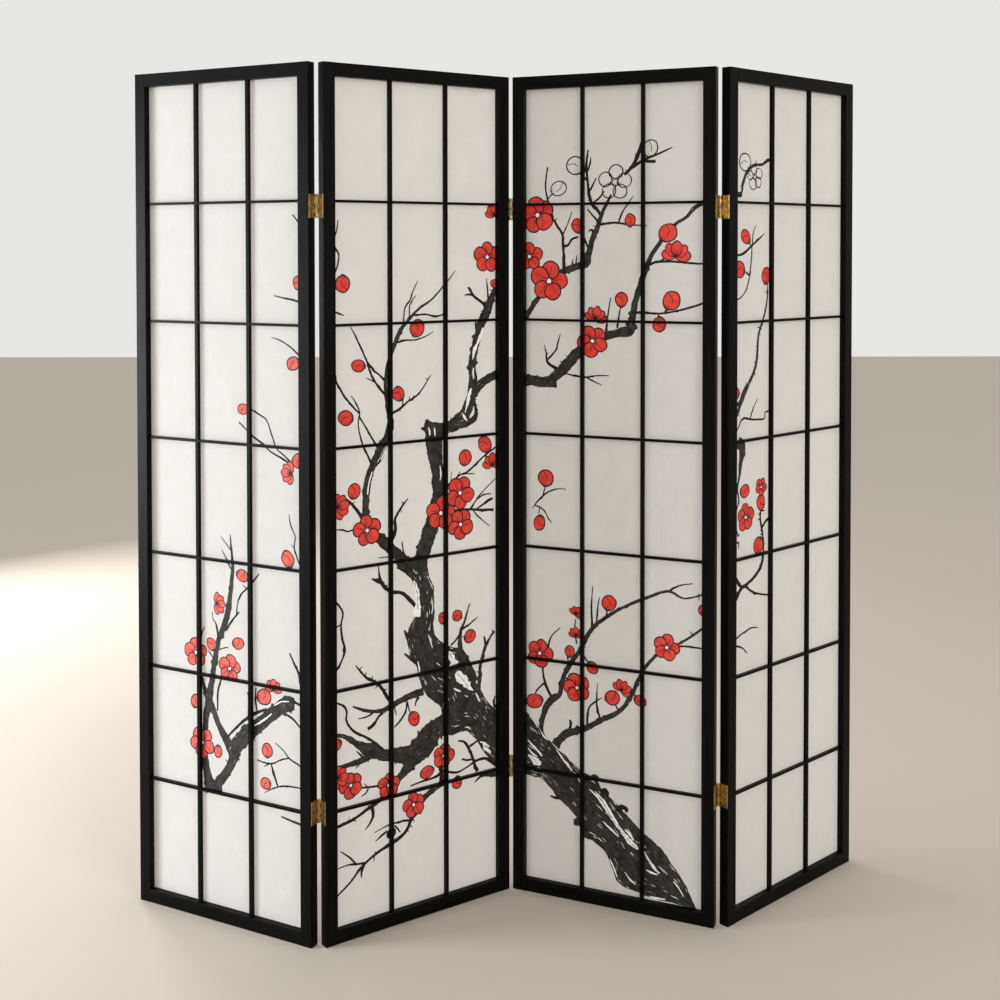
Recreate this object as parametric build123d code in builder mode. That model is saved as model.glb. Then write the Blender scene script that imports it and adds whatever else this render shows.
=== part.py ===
"""Folding room divider: four framed paper panels joined in a zigzag by butt hinges.

The row frame has +Z up and -Y towards the decorated front. Its origin is on the floor, in
the middle of the footprint. Each panel has a frame of its own: X along the panel from its
left edge, Y from the front face to the back face, Z up from the floor.
"""

import os
from math import cos, radians, sin

from build123d import *

# Panels (mm)
panel_height = 1784.0
panel_width = 452.0
panel_thickness = 22.0
stile_width = 27.0
rail_height = 27.5
edge_radius = 1.0

# How far each panel is turned from the X axis as the screen stands (degrees)
panel_headings = (-27.7, 34.7, -23.5, 42.9)

# Lattice of two upright bars and six cross bars. Each row is a little taller than the one
# below it.
upright_bar_width = 8.0
cross_bar_height = 5.5
cross_bar_count = 6
row_growth = 1.4
bar_depth = 8.0
bar_setback = 6.5
bar_edge_radius = 0.5
bar_tenon = 4.0

# Paper and the beads that hold it in the rebate at the back of the frame
rebate_width = 7.0
paper_thickness = 0.4
paper_margin = 1.0
bead_setback = 0.7
bead_radius = 2.0

# Dowels at the corners of the frame
dowel_radius = 3.0
dowel_in_stile = 12.0
dowel_in_rail = 18.0
dowel_inset = 7.0
dowel_spacing = 11.0

# Hinges: five knuckles, three on the left leaf and two on the right leaf
hinge_height = 48.0
upper_hinge_below_top = 287.0
lower_hinge_above_floor = 273.0
hinge_gap = 3.7
pin_proud = 0.75
knuckle_radius = 3.5
knuckle_count = 5
knuckle_clearance = 0.3
pin_radius = 1.5
pin_running_clearance = 0.06
leaf_thickness = 1.2

# Countersunk screws, two in each leaf
screw_radius = 1.8
screw_head_radius = 3.0
screw_length = 14.0
screw_tip = 3.0
screw_spacing = 26.0
recess_length = 3.4
recess_width = 0.7
recess_depth = 0.6

# Sizes that follow from the ones above
opening_width = panel_width - 2 * stile_width
opening_height = panel_height - 2 * rail_height
paper_depth = bar_setback + bar_depth
column_width = (opening_width - 2 * upright_bar_width) / 3
row_count = cross_bar_count + 1
mean_row_height = (opening_height - cross_bar_count * cross_bar_height) / row_count
bead_depth = panel_thickness - bead_setback - paper_depth - paper_thickness
pocket_width = opening_width + 2 * rebate_width
pocket_height = opening_height + 2 * rebate_width
pin_inset = hinge_gap - leaf_thickness
leaf_notch = knuckle_radius + knuckle_clearance
leaf_far_edge = panel_thickness + pin_proud - edge_radius
screw_from_pin = (leaf_notch + leaf_far_edge) / 2

LOW = (Align.MIN, Align.MIN, Align.MIN)
DOWN = (Align.CENTER, Align.CENTER, Align.MAX)


def along(heading):
    """Unit vector along a panel, from its left edge to its right edge."""
    angle = radians(heading)
    return Vector(cos(angle), sin(angle), 0)


def backward(heading):
    """Unit vector from a panel's front face to its back face."""
    angle = radians(heading)
    return Vector(-sin(angle), cos(angle), 0)


def pin_at_back(joint):
    """The first and third joints fold back to back, the second one front to front."""
    return joint % 2 == 0


def pin_depth(joint):
    """Distance of a hinge pin behind the front faces of its two panels."""
    if pin_at_back(joint):
        return panel_thickness + pin_proud
    return -pin_proud


def chain_corners():
    """Front left corners of the panels, found from hinge to hinge, the first at zero."""
    corners = [Vector(0, 0, 0)]
    for joint in range(len(panel_headings) - 1):
        left, right = panel_headings[joint], panel_headings[joint + 1]
        pin = corners[joint] + along(left) * (panel_width + hinge_gap)
        pin += backward(left) * pin_depth(joint)
        corners.append(pin + along(right) * hinge_gap - backward(right) * pin_depth(joint))
    return corners


def footprint_centre(corners):
    """Middle of the box round all four footprints, whose corners are rounded."""
    across = (edge_radius, panel_width - edge_radius)
    through = (edge_radius, panel_thickness - edge_radius)
    points = [
        corner + along(heading) * x + backward(heading) * y
        for corner, heading in zip(corners, panel_headings)
        for x in across
        for y in through
    ]
    xs = [point.X for point in points]
    ys = [point.Y for point in points]
    return Vector((min(xs) + max(xs)) / 2, (min(ys) + max(ys)) / 2, 0)


def panel_plane(panel):
    """Workplane of a panel: origin at its front left foot, X along it, Y to its back."""
    corners = chain_corners()
    foot = corners[panel] - footprint_centre(corners)
    return Plane(origin=foot, x_dir=along(panel_headings[panel]), z_dir=(0, 0, 1))


def hinge_levels():
    """Heights of the middles of the lower and the upper hinge."""
    return lower_hinge_above_floor, panel_height - upper_hinge_below_top


def leaf_plane(joint, side, level):
    """Workplane of a hinge leaf: origin on the pin, X into its panel, Y along the leaf."""
    panel = joint if side == "left" else joint + 1
    heading = panel_headings[panel]
    edge = panel_width + hinge_gap if side == "left" else -hinge_gap
    pin = panel_plane(panel).from_local_coords(Vector(edge, pin_depth(joint), level))
    into_panel = along(heading) * (-1 if side == "left" else 1)
    upright = 1 if (side == "left") == pin_at_back(joint) else -1
    return Plane(origin=pin, x_dir=into_panel, z_dir=(0, 0, upright))


def cross_bar_levels():
    """Heights of the undersides of the cross bars."""
    levels = []
    top = rail_height
    for row in range(cross_bar_count):
        level = top + mean_row_height + (row - cross_bar_count / 2) * row_growth
        levels.append(level)
        top = level + cross_bar_height
    return levels


def upright_bar_lefts():
    """Left sides of the two upright bars, from the panel's left edge."""
    first = stile_width + column_width
    return [first, first + upright_bar_width + column_width]


def dowel_levels():
    """Heights of the four dowels down one side of a panel."""
    low = [dowel_inset, dowel_inset + dowel_spacing]
    return low + [panel_height - level for level in low]


def cut_rebate():
    """Cut the step for the paper and its beads, all round the back of the opening."""
    with Locations((stile_width - rebate_width, paper_depth, rail_height - rebate_width)):
        Box(pocket_width, panel_thickness, pocket_height, align=LOW, mode=Mode.SUBTRACT)


def cut_bar_mortises():
    """Cut the seats of the lattice bars."""
    for level in cross_bar_levels():
        with Locations((stile_width - bar_tenon, bar_setback, level)):
            Box(opening_width + 2 * bar_tenon, bar_depth, cross_bar_height,
                align=LOW, mode=Mode.SUBTRACT)
    for left in upright_bar_lefts():
        with Locations((left, bar_setback, rail_height - bar_tenon)):
            Box(upright_bar_width, bar_depth, opening_height + 2 * bar_tenon,
                align=LOW, mode=Mode.SUBTRACT)


def dowel_spots():
    """Middles of the eight dowels of a panel."""
    from_edge = stile_width - dowel_in_stile + (dowel_in_stile + dowel_in_rail) / 2
    return [
        (x, paper_depth / 2, level)
        for x in (from_edge, panel_width - from_edge)
        for level in dowel_levels()
    ]


def cut_dowel_holes():
    """Bore the frame for its dowels."""
    with Locations(*dowel_spots()):
        Cylinder(dowel_radius, dowel_in_stile + dowel_in_rail,
                 rotation=(0, 90, 0), mode=Mode.SUBTRACT)


def cut_screw_holes(panel, side):
    """Bore the outer edge of a stile for the screws of its hinges."""
    joint = panel if side == "right" else panel - 1
    if joint < 0 or joint == len(panel_headings) - 1:
        return
    if pin_at_back(joint):
        depth = pin_depth(joint) - screw_from_pin
    else:
        depth = pin_depth(joint) + screw_from_pin
    bore = screw_length - leaf_thickness
    middle = panel_width - bore / 2 if side == "right" else bore / 2
    spots = [
        (middle, depth, level + step)
        for level in hinge_levels()
        for step in (-screw_spacing / 2, screw_spacing / 2)
    ]
    with Locations(*spots):
        Cylinder(screw_radius, bore, rotation=(0, 90, 0), mode=Mode.SUBTRACT)


def stile(panel, side):
    """Upright of the frame, full height, with eased long edges."""
    with BuildPart(panel_plane(panel)) as piece:
        left = 0 if side == "left" else panel_width - stile_width
        with Locations((left, 0, 0)):
            Box(stile_width, panel_thickness, panel_height, align=LOW)
        fillet(piece.edges().filter_by(Axis.Z), edge_radius)
        cut_rebate()
        cut_bar_mortises()
        cut_dowel_holes()
        cut_screw_holes(panel, side)
    return piece.part


def rail(panel, side):
    """Cross piece of the frame, held between the stiles by dowels."""
    plane = panel_plane(panel)
    with BuildPart(plane) as piece:
        bottom = 0 if side == "bottom" else panel_height - rail_height
        with Locations((stile_width, 0, bottom)):
            Box(opening_width, panel_thickness, rail_height, align=LOW)
        fillet(piece.edges().filter_by(Axis(plane.origin, plane.x_dir)), edge_radius)
        cut_rebate()
        cut_bar_mortises()
        cut_dowel_holes()
    return piece.part


def upright_bars(panel):
    """The two upright lattice bars, halved at the back to let the cross bars through."""
    with BuildPart(panel_plane(panel)) as piece:
        for left in upright_bar_lefts():
            with Locations((left, bar_setback, rail_height - bar_tenon)):
                Box(upright_bar_width, bar_depth, opening_height + 2 * bar_tenon, align=LOW)
        front = [
            edge for edge in piece.edges().filter_by(Axis.Z)
            if panel_plane(panel).to_local_coords(edge.center()).Y < bar_setback + 0.1
        ]
        fillet(front, bar_edge_radius)
        for level in cross_bar_levels():
            with Locations((stile_width, bar_setback + bar_depth / 2, level)):
                Box(opening_width, bar_depth, cross_bar_height,
                    align=LOW, mode=Mode.SUBTRACT)
    return piece.part


def cross_bars(panel):
    """The six level lattice bars, halved at the front to let the upright bars through."""
    plane = panel_plane(panel)
    with BuildPart(plane) as piece:
        for level in cross_bar_levels():
            with Locations((stile_width - bar_tenon, bar_setback, level)):
                Box(opening_width + 2 * bar_tenon, bar_depth, cross_bar_height, align=LOW)
        front = [
            edge for edge in piece.edges().filter_by(Axis(plane.origin, plane.x_dir))
            if plane.to_local_coords(edge.center()).Y < bar_setback + 0.1
        ]
        fillet(front, bar_edge_radius)
        for left in upright_bar_lefts():
            with Locations((left, 0, rail_height)):
                Box(upright_bar_width, bar_setback + bar_depth / 2, opening_height,
                    align=LOW, mode=Mode.SUBTRACT)
    return piece.part


def paper(panel):
    """One flat sheet behind the whole lattice, its edges lying on the rebate."""
    inset = rebate_width - paper_margin
    with BuildPart(panel_plane(panel)) as piece:
        with Locations((stile_width - inset, paper_depth, rail_height - inset)):
            Box(opening_width + 2 * inset, paper_thickness, opening_height + 2 * inset,
                align=LOW)
    return piece.part


def back_beads(panel):
    """Four strips that hold the edges of the paper in the rebate."""
    plane = panel_plane(panel)
    front = paper_depth + paper_thickness
    left = stile_width - rebate_width
    low = rail_height - rebate_width
    right = panel_width - stile_width
    high = panel_height - rail_height
    with BuildPart(plane) as piece:
        with Locations((left, front, low), (right, front, low)):
            Box(rebate_width, bead_depth, pocket_height, align=LOW)
        inner_uprights = [
            edge for edge in piece.edges().filter_by(Axis.Z)
            if plane.to_local_coords(edge.center()).Y > front + bead_depth / 2
            and left + 1 < plane.to_local_coords(edge.center()).X < right + 1
        ]
        fillet(inner_uprights, bead_radius)
    with BuildPart(plane) as level_piece:
        with Locations((stile_width, front, low), (stile_width, front, high)):
            Box(opening_width, bead_depth, rebate_width, align=LOW)
        inner_levels = [
            edge for edge in level_piece.edges().filter_by(Axis(plane.origin, plane.x_dir))
            if plane.to_local_coords(edge.center()).Y > front + bead_depth / 2
            and low + 1 < edge.center().Z < high + 1
        ]
        fillet(inner_levels, bead_radius)
    return Compound(children=piece.part.solids() + level_piece.part.solids())


def dowels(panel):
    """The eight dowels inside the corners of the frame."""
    with BuildPart(panel_plane(panel)) as piece:
        with Locations(*dowel_spots()):
            Cylinder(dowel_radius, dowel_in_stile + dowel_in_rail, rotation=(0, 90, 0))
    return piece.part


def knuckle_sections(side):
    """Heights, from the hinge's middle, of the middles of the knuckles on one leaf."""
    pitch = hinge_height / knuckle_count
    first = 0 if side == "left" else 1
    return [(index - (knuckle_count - 1) / 2) * pitch for index in range(first, knuckle_count, 2)]


def hinge_leaf(joint, side, level):
    """Flat plate on the edge of a stile, with its share of the knuckles."""
    other = "right" if side == "left" else "left"
    pitch = hinge_height / knuckle_count
    bore = pin_radius if side == "left" else pin_radius + pin_running_clearance
    with BuildPart(leaf_plane(joint, side, level)) as piece:
        with Locations((pin_inset, 0, -hinge_height / 2)):
            Box(leaf_thickness, leaf_far_edge, hinge_height, align=LOW)
        for middle in knuckle_sections(other):
            with Locations((0, 0, middle)):
                Box(4 * knuckle_radius, 2 * leaf_notch, pitch + knuckle_clearance,
                    mode=Mode.SUBTRACT)
        for middle in knuckle_sections(side):
            with Locations((0, 0, middle)):
                Cylinder(knuckle_radius, pitch - knuckle_clearance)
        Cylinder(bore, 2 * hinge_height, mode=Mode.SUBTRACT)
        for step in (-screw_spacing / 2, screw_spacing / 2):
            with Locations(Location((pin_inset, screw_from_pin, step), (0, -90, 0))):
                CounterSinkHole(screw_radius, screw_head_radius, counter_sink_angle=90)
    return piece.part


def hinge_pins(joint):
    """The lower and upper pin of a joint, tight in the left leaf and free in the right."""
    planes = [leaf_plane(joint, "left", level) for level in hinge_levels()]
    with BuildPart(*planes) as piece:
        Cylinder(pin_radius, hinge_height + 1)
        chamfer(piece.edges().filter_by(GeomType.CIRCLE), 0.4)
    return piece.part


def screw_planes(joint, side):
    """Workplanes of the screws on one side of a joint, Z out of the screw heads."""
    planes = []
    for level in hinge_levels():
        leaf = leaf_plane(joint, side, level)
        for step in (-screw_spacing / 2, screw_spacing / 2):
            head = leaf.from_local_coords(Vector(pin_inset, screw_from_pin, step))
            planes.append(Plane(origin=head, x_dir=leaf.y_dir, z_dir=-leaf.x_dir))
    return planes


def hinge_screws(joint, side):
    """Countersunk wood screws with a cross recess, through the leaves on one side."""
    head_depth = screw_head_radius - screw_radius
    with BuildPart(*screw_planes(joint, side)) as piece:
        Cone(screw_radius, screw_head_radius, head_depth, align=DOWN)
        with Locations((0, 0, -head_depth)):
            Cylinder(screw_radius, screw_length - screw_tip - head_depth, align=DOWN)
        with Locations((0, 0, screw_tip - screw_length)):
            Cone(screw_radius / 5, screw_radius, screw_tip, align=DOWN)
        Box(recess_length, recess_width, recess_depth, align=DOWN, mode=Mode.SUBTRACT)
        Box(recess_width, recess_length, recess_depth, align=DOWN, mode=Mode.SUBTRACT)
    return piece.part


def save(name, part):
    """Label a piece and write it to its own file."""
    part.label = name
    export_step(part, f"parts/{name}.step")


def save_panel(panel):
    """Write the pieces of one panel."""
    name = f"panel_{panel + 1}"
    save(f"{name}_left_stile", stile(panel, "left"))
    save(f"{name}_right_stile", stile(panel, "right"))
    save(f"{name}_top_rail", rail(panel, "top"))
    save(f"{name}_bottom_rail", rail(panel, "bottom"))
    save(f"{name}_upright_bars", upright_bars(panel))
    save(f"{name}_cross_bars", cross_bars(panel))
    save(f"{name}_paper", paper(panel))
    save(f"{name}_back_beads", back_beads(panel))
    save(f"{name}_dowels", dowels(panel))


def save_joint(joint):
    """Write the two hinges between one panel and the next."""
    name = f"hinge_{joint + 1}_{joint + 2}"
    for place, level in zip(("lower", "upper"), hinge_levels()):
        save(f"{place}_{name}_left_leaf", hinge_leaf(joint, "left", level))
        save(f"{place}_{name}_right_leaf", hinge_leaf(joint, "right", level))
    save(f"{name}_pins", hinge_pins(joint))
    save(f"{name}_left_screws", hinge_screws(joint, "left"))
    save(f"{name}_right_screws", hinge_screws(joint, "right"))


os.makedirs("parts", exist_ok=True)
for panel_index in range(len(panel_headings)):
    save_panel(panel_index)
for joint_index in range(len(panel_headings) - 1):
    save_joint(joint_index)
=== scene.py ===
"""Folding screen of four hinged panels: black frames, paper with a printed plum tree, brass hinges."""

import math
import random

import bpy
from mathutils import Matrix, Vector, noise


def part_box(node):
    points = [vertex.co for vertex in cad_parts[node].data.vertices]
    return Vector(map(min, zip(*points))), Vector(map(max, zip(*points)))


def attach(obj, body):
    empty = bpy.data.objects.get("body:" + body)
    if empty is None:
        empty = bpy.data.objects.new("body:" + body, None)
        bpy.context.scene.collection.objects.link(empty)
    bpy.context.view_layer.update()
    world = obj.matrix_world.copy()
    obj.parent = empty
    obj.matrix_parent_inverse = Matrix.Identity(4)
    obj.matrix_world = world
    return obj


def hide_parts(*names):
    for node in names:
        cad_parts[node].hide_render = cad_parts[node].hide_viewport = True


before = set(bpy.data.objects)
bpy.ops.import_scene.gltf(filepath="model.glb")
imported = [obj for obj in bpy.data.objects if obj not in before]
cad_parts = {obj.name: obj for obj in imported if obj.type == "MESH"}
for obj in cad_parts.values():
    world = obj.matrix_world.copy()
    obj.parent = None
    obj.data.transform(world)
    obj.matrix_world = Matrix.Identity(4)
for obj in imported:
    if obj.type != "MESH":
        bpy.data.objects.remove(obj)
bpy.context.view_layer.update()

MM = 0.001

# The four panels and the way each one turns about the upright, in degrees.
PANELS = (1, 2, 3, 4)
PANEL_TURNS = {1: -27.7, 2: 34.7, 3: -23.5, 4: 42.9}

# A panel's own frame has X along the panel, Y back from its front face and Z up, in millimetres.
PAPER_MIDDLE = (226.0, 14.7, 892.0)
PAPER_WIDTH = 410.0
PAPER_HEIGHT = 1741.0
PAPER_FRONT = 14.70
PAPER_THICKNESS = 0.2
PAPER_SAG = 0.22
PAPER_COLUMNS = 48
PAPER_ROWS = 190

# Where the frame and the bars hold the paper, across the panel and up it.
CELL_SIDES = (27.0, 158.33, 293.67, 425.0)
CELL_LEVELS = (27.5, 268.3, 513.3, 759.7, 1007.5, 1256.7, 1507.3, 1756.5)

# The print lies in thin layers in front of the paper, and its shadow is painted faintly at the back: the lift
# of each layer off the paper, and the edges that the print keeps inside, in millimetres.
INK_LIFT = 0.03
LIMB_STEP = 0.003
FLECK_LIFT = 0.055
PETAL_LIFT = 0.06
PETAL_STEP = 0.014
CREASE_LIFT = 0.006
HEART_LIFT = 0.005
BACK_LIFT = 0.03
BACK_LIFT_SHARE = 0.6
PRINT_LEFT = 22.5
PRINT_RIGHT = 429.5
PRINT_BOTTOM = 24.0

# Strokes: a wide one is laid with a brush, a narrow one is a drawn line. Widths and the steps
# along a stroke are in millimetres.
BRUSH_WIDTH = 12
BRUSH_STEP = 3.5
LINE_STEP = 2.2
THINNEST_LINE = 1.9
INK_SPREAD = 1.12
COLUMN_WIDTH = 7.0
SPUR_WIDTHS = (7, 30)
SPUR_CHANCE = 0.045
TRUNK_STEP = 4.0
TRUNK_COLUMNS = 14
TRUNK_RAGGED = 2.6
SLIVERS_A_STEP = 0.75
GAP_STEP = 3.0
GAP_WITH_GRAIN = 8
THINNEST_GAP = 0.15

# Flowers: counts, and line widths in millimetres.
PETALS = 5
STAMENS = 10
PETAL_SIDES = 18
WIDEST_OUTLINE = 2.9
STAMEN_LINE = 2.2
CREASE_LINE = 1.7
FAN_LINE = 1.9
FOLD_LINE = 2.0

# Broad trunks are drawn between a left and a right edge: points are (across, up).
TRUNKS = {
    1: (),
    2: (
        (
            ((430, 272), (400, 302), (385, 325), (372, 345), (350, 365), (330, 367), (305, 368),
             (290, 400), (282, 432), (268, 446), (250, 460), (240, 476), (229, 500), (222, 530),
             (207, 555), (200, 585), (202, 610), (212, 626), (219, 640), (221, 660), (219, 685),
             (212, 712), (196, 730), (180, 742), (172, 758)),
            ((430, 395), (412, 412), (398, 428), (386, 450), (372, 470), (354, 500), (346, 522),
             (337, 546), (328, 552), (312, 556), (298, 563), (284, 572), (272, 586), (265, 602),
             (267, 640), (266, 690), (257, 712), (251, 735), (251, 768)),
        ),
    ),
    3: (
        (
            ((22, 252), (48, 250), (66, 246), (85, 230), (100, 212), (130, 190), (145, 175), (154, 156),
             (165, 136), (185, 130), (210, 110), (225, 80), (235, 56), (250, 45), (285, 37), (320, 31),
             (370, 29), (410, 25)),
            ((22, 394), (48, 374), (64, 350), (80, 336), (100, 320), (116, 310), (134, 294), (150, 283),
             (168, 275), (192, 264), (204, 245), (230, 225), (252, 205), (300, 165), (330, 145),
             (360, 110), (384, 80), (402, 46), (413, 25)),
        ),
    ),
    4: (),
}

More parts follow.
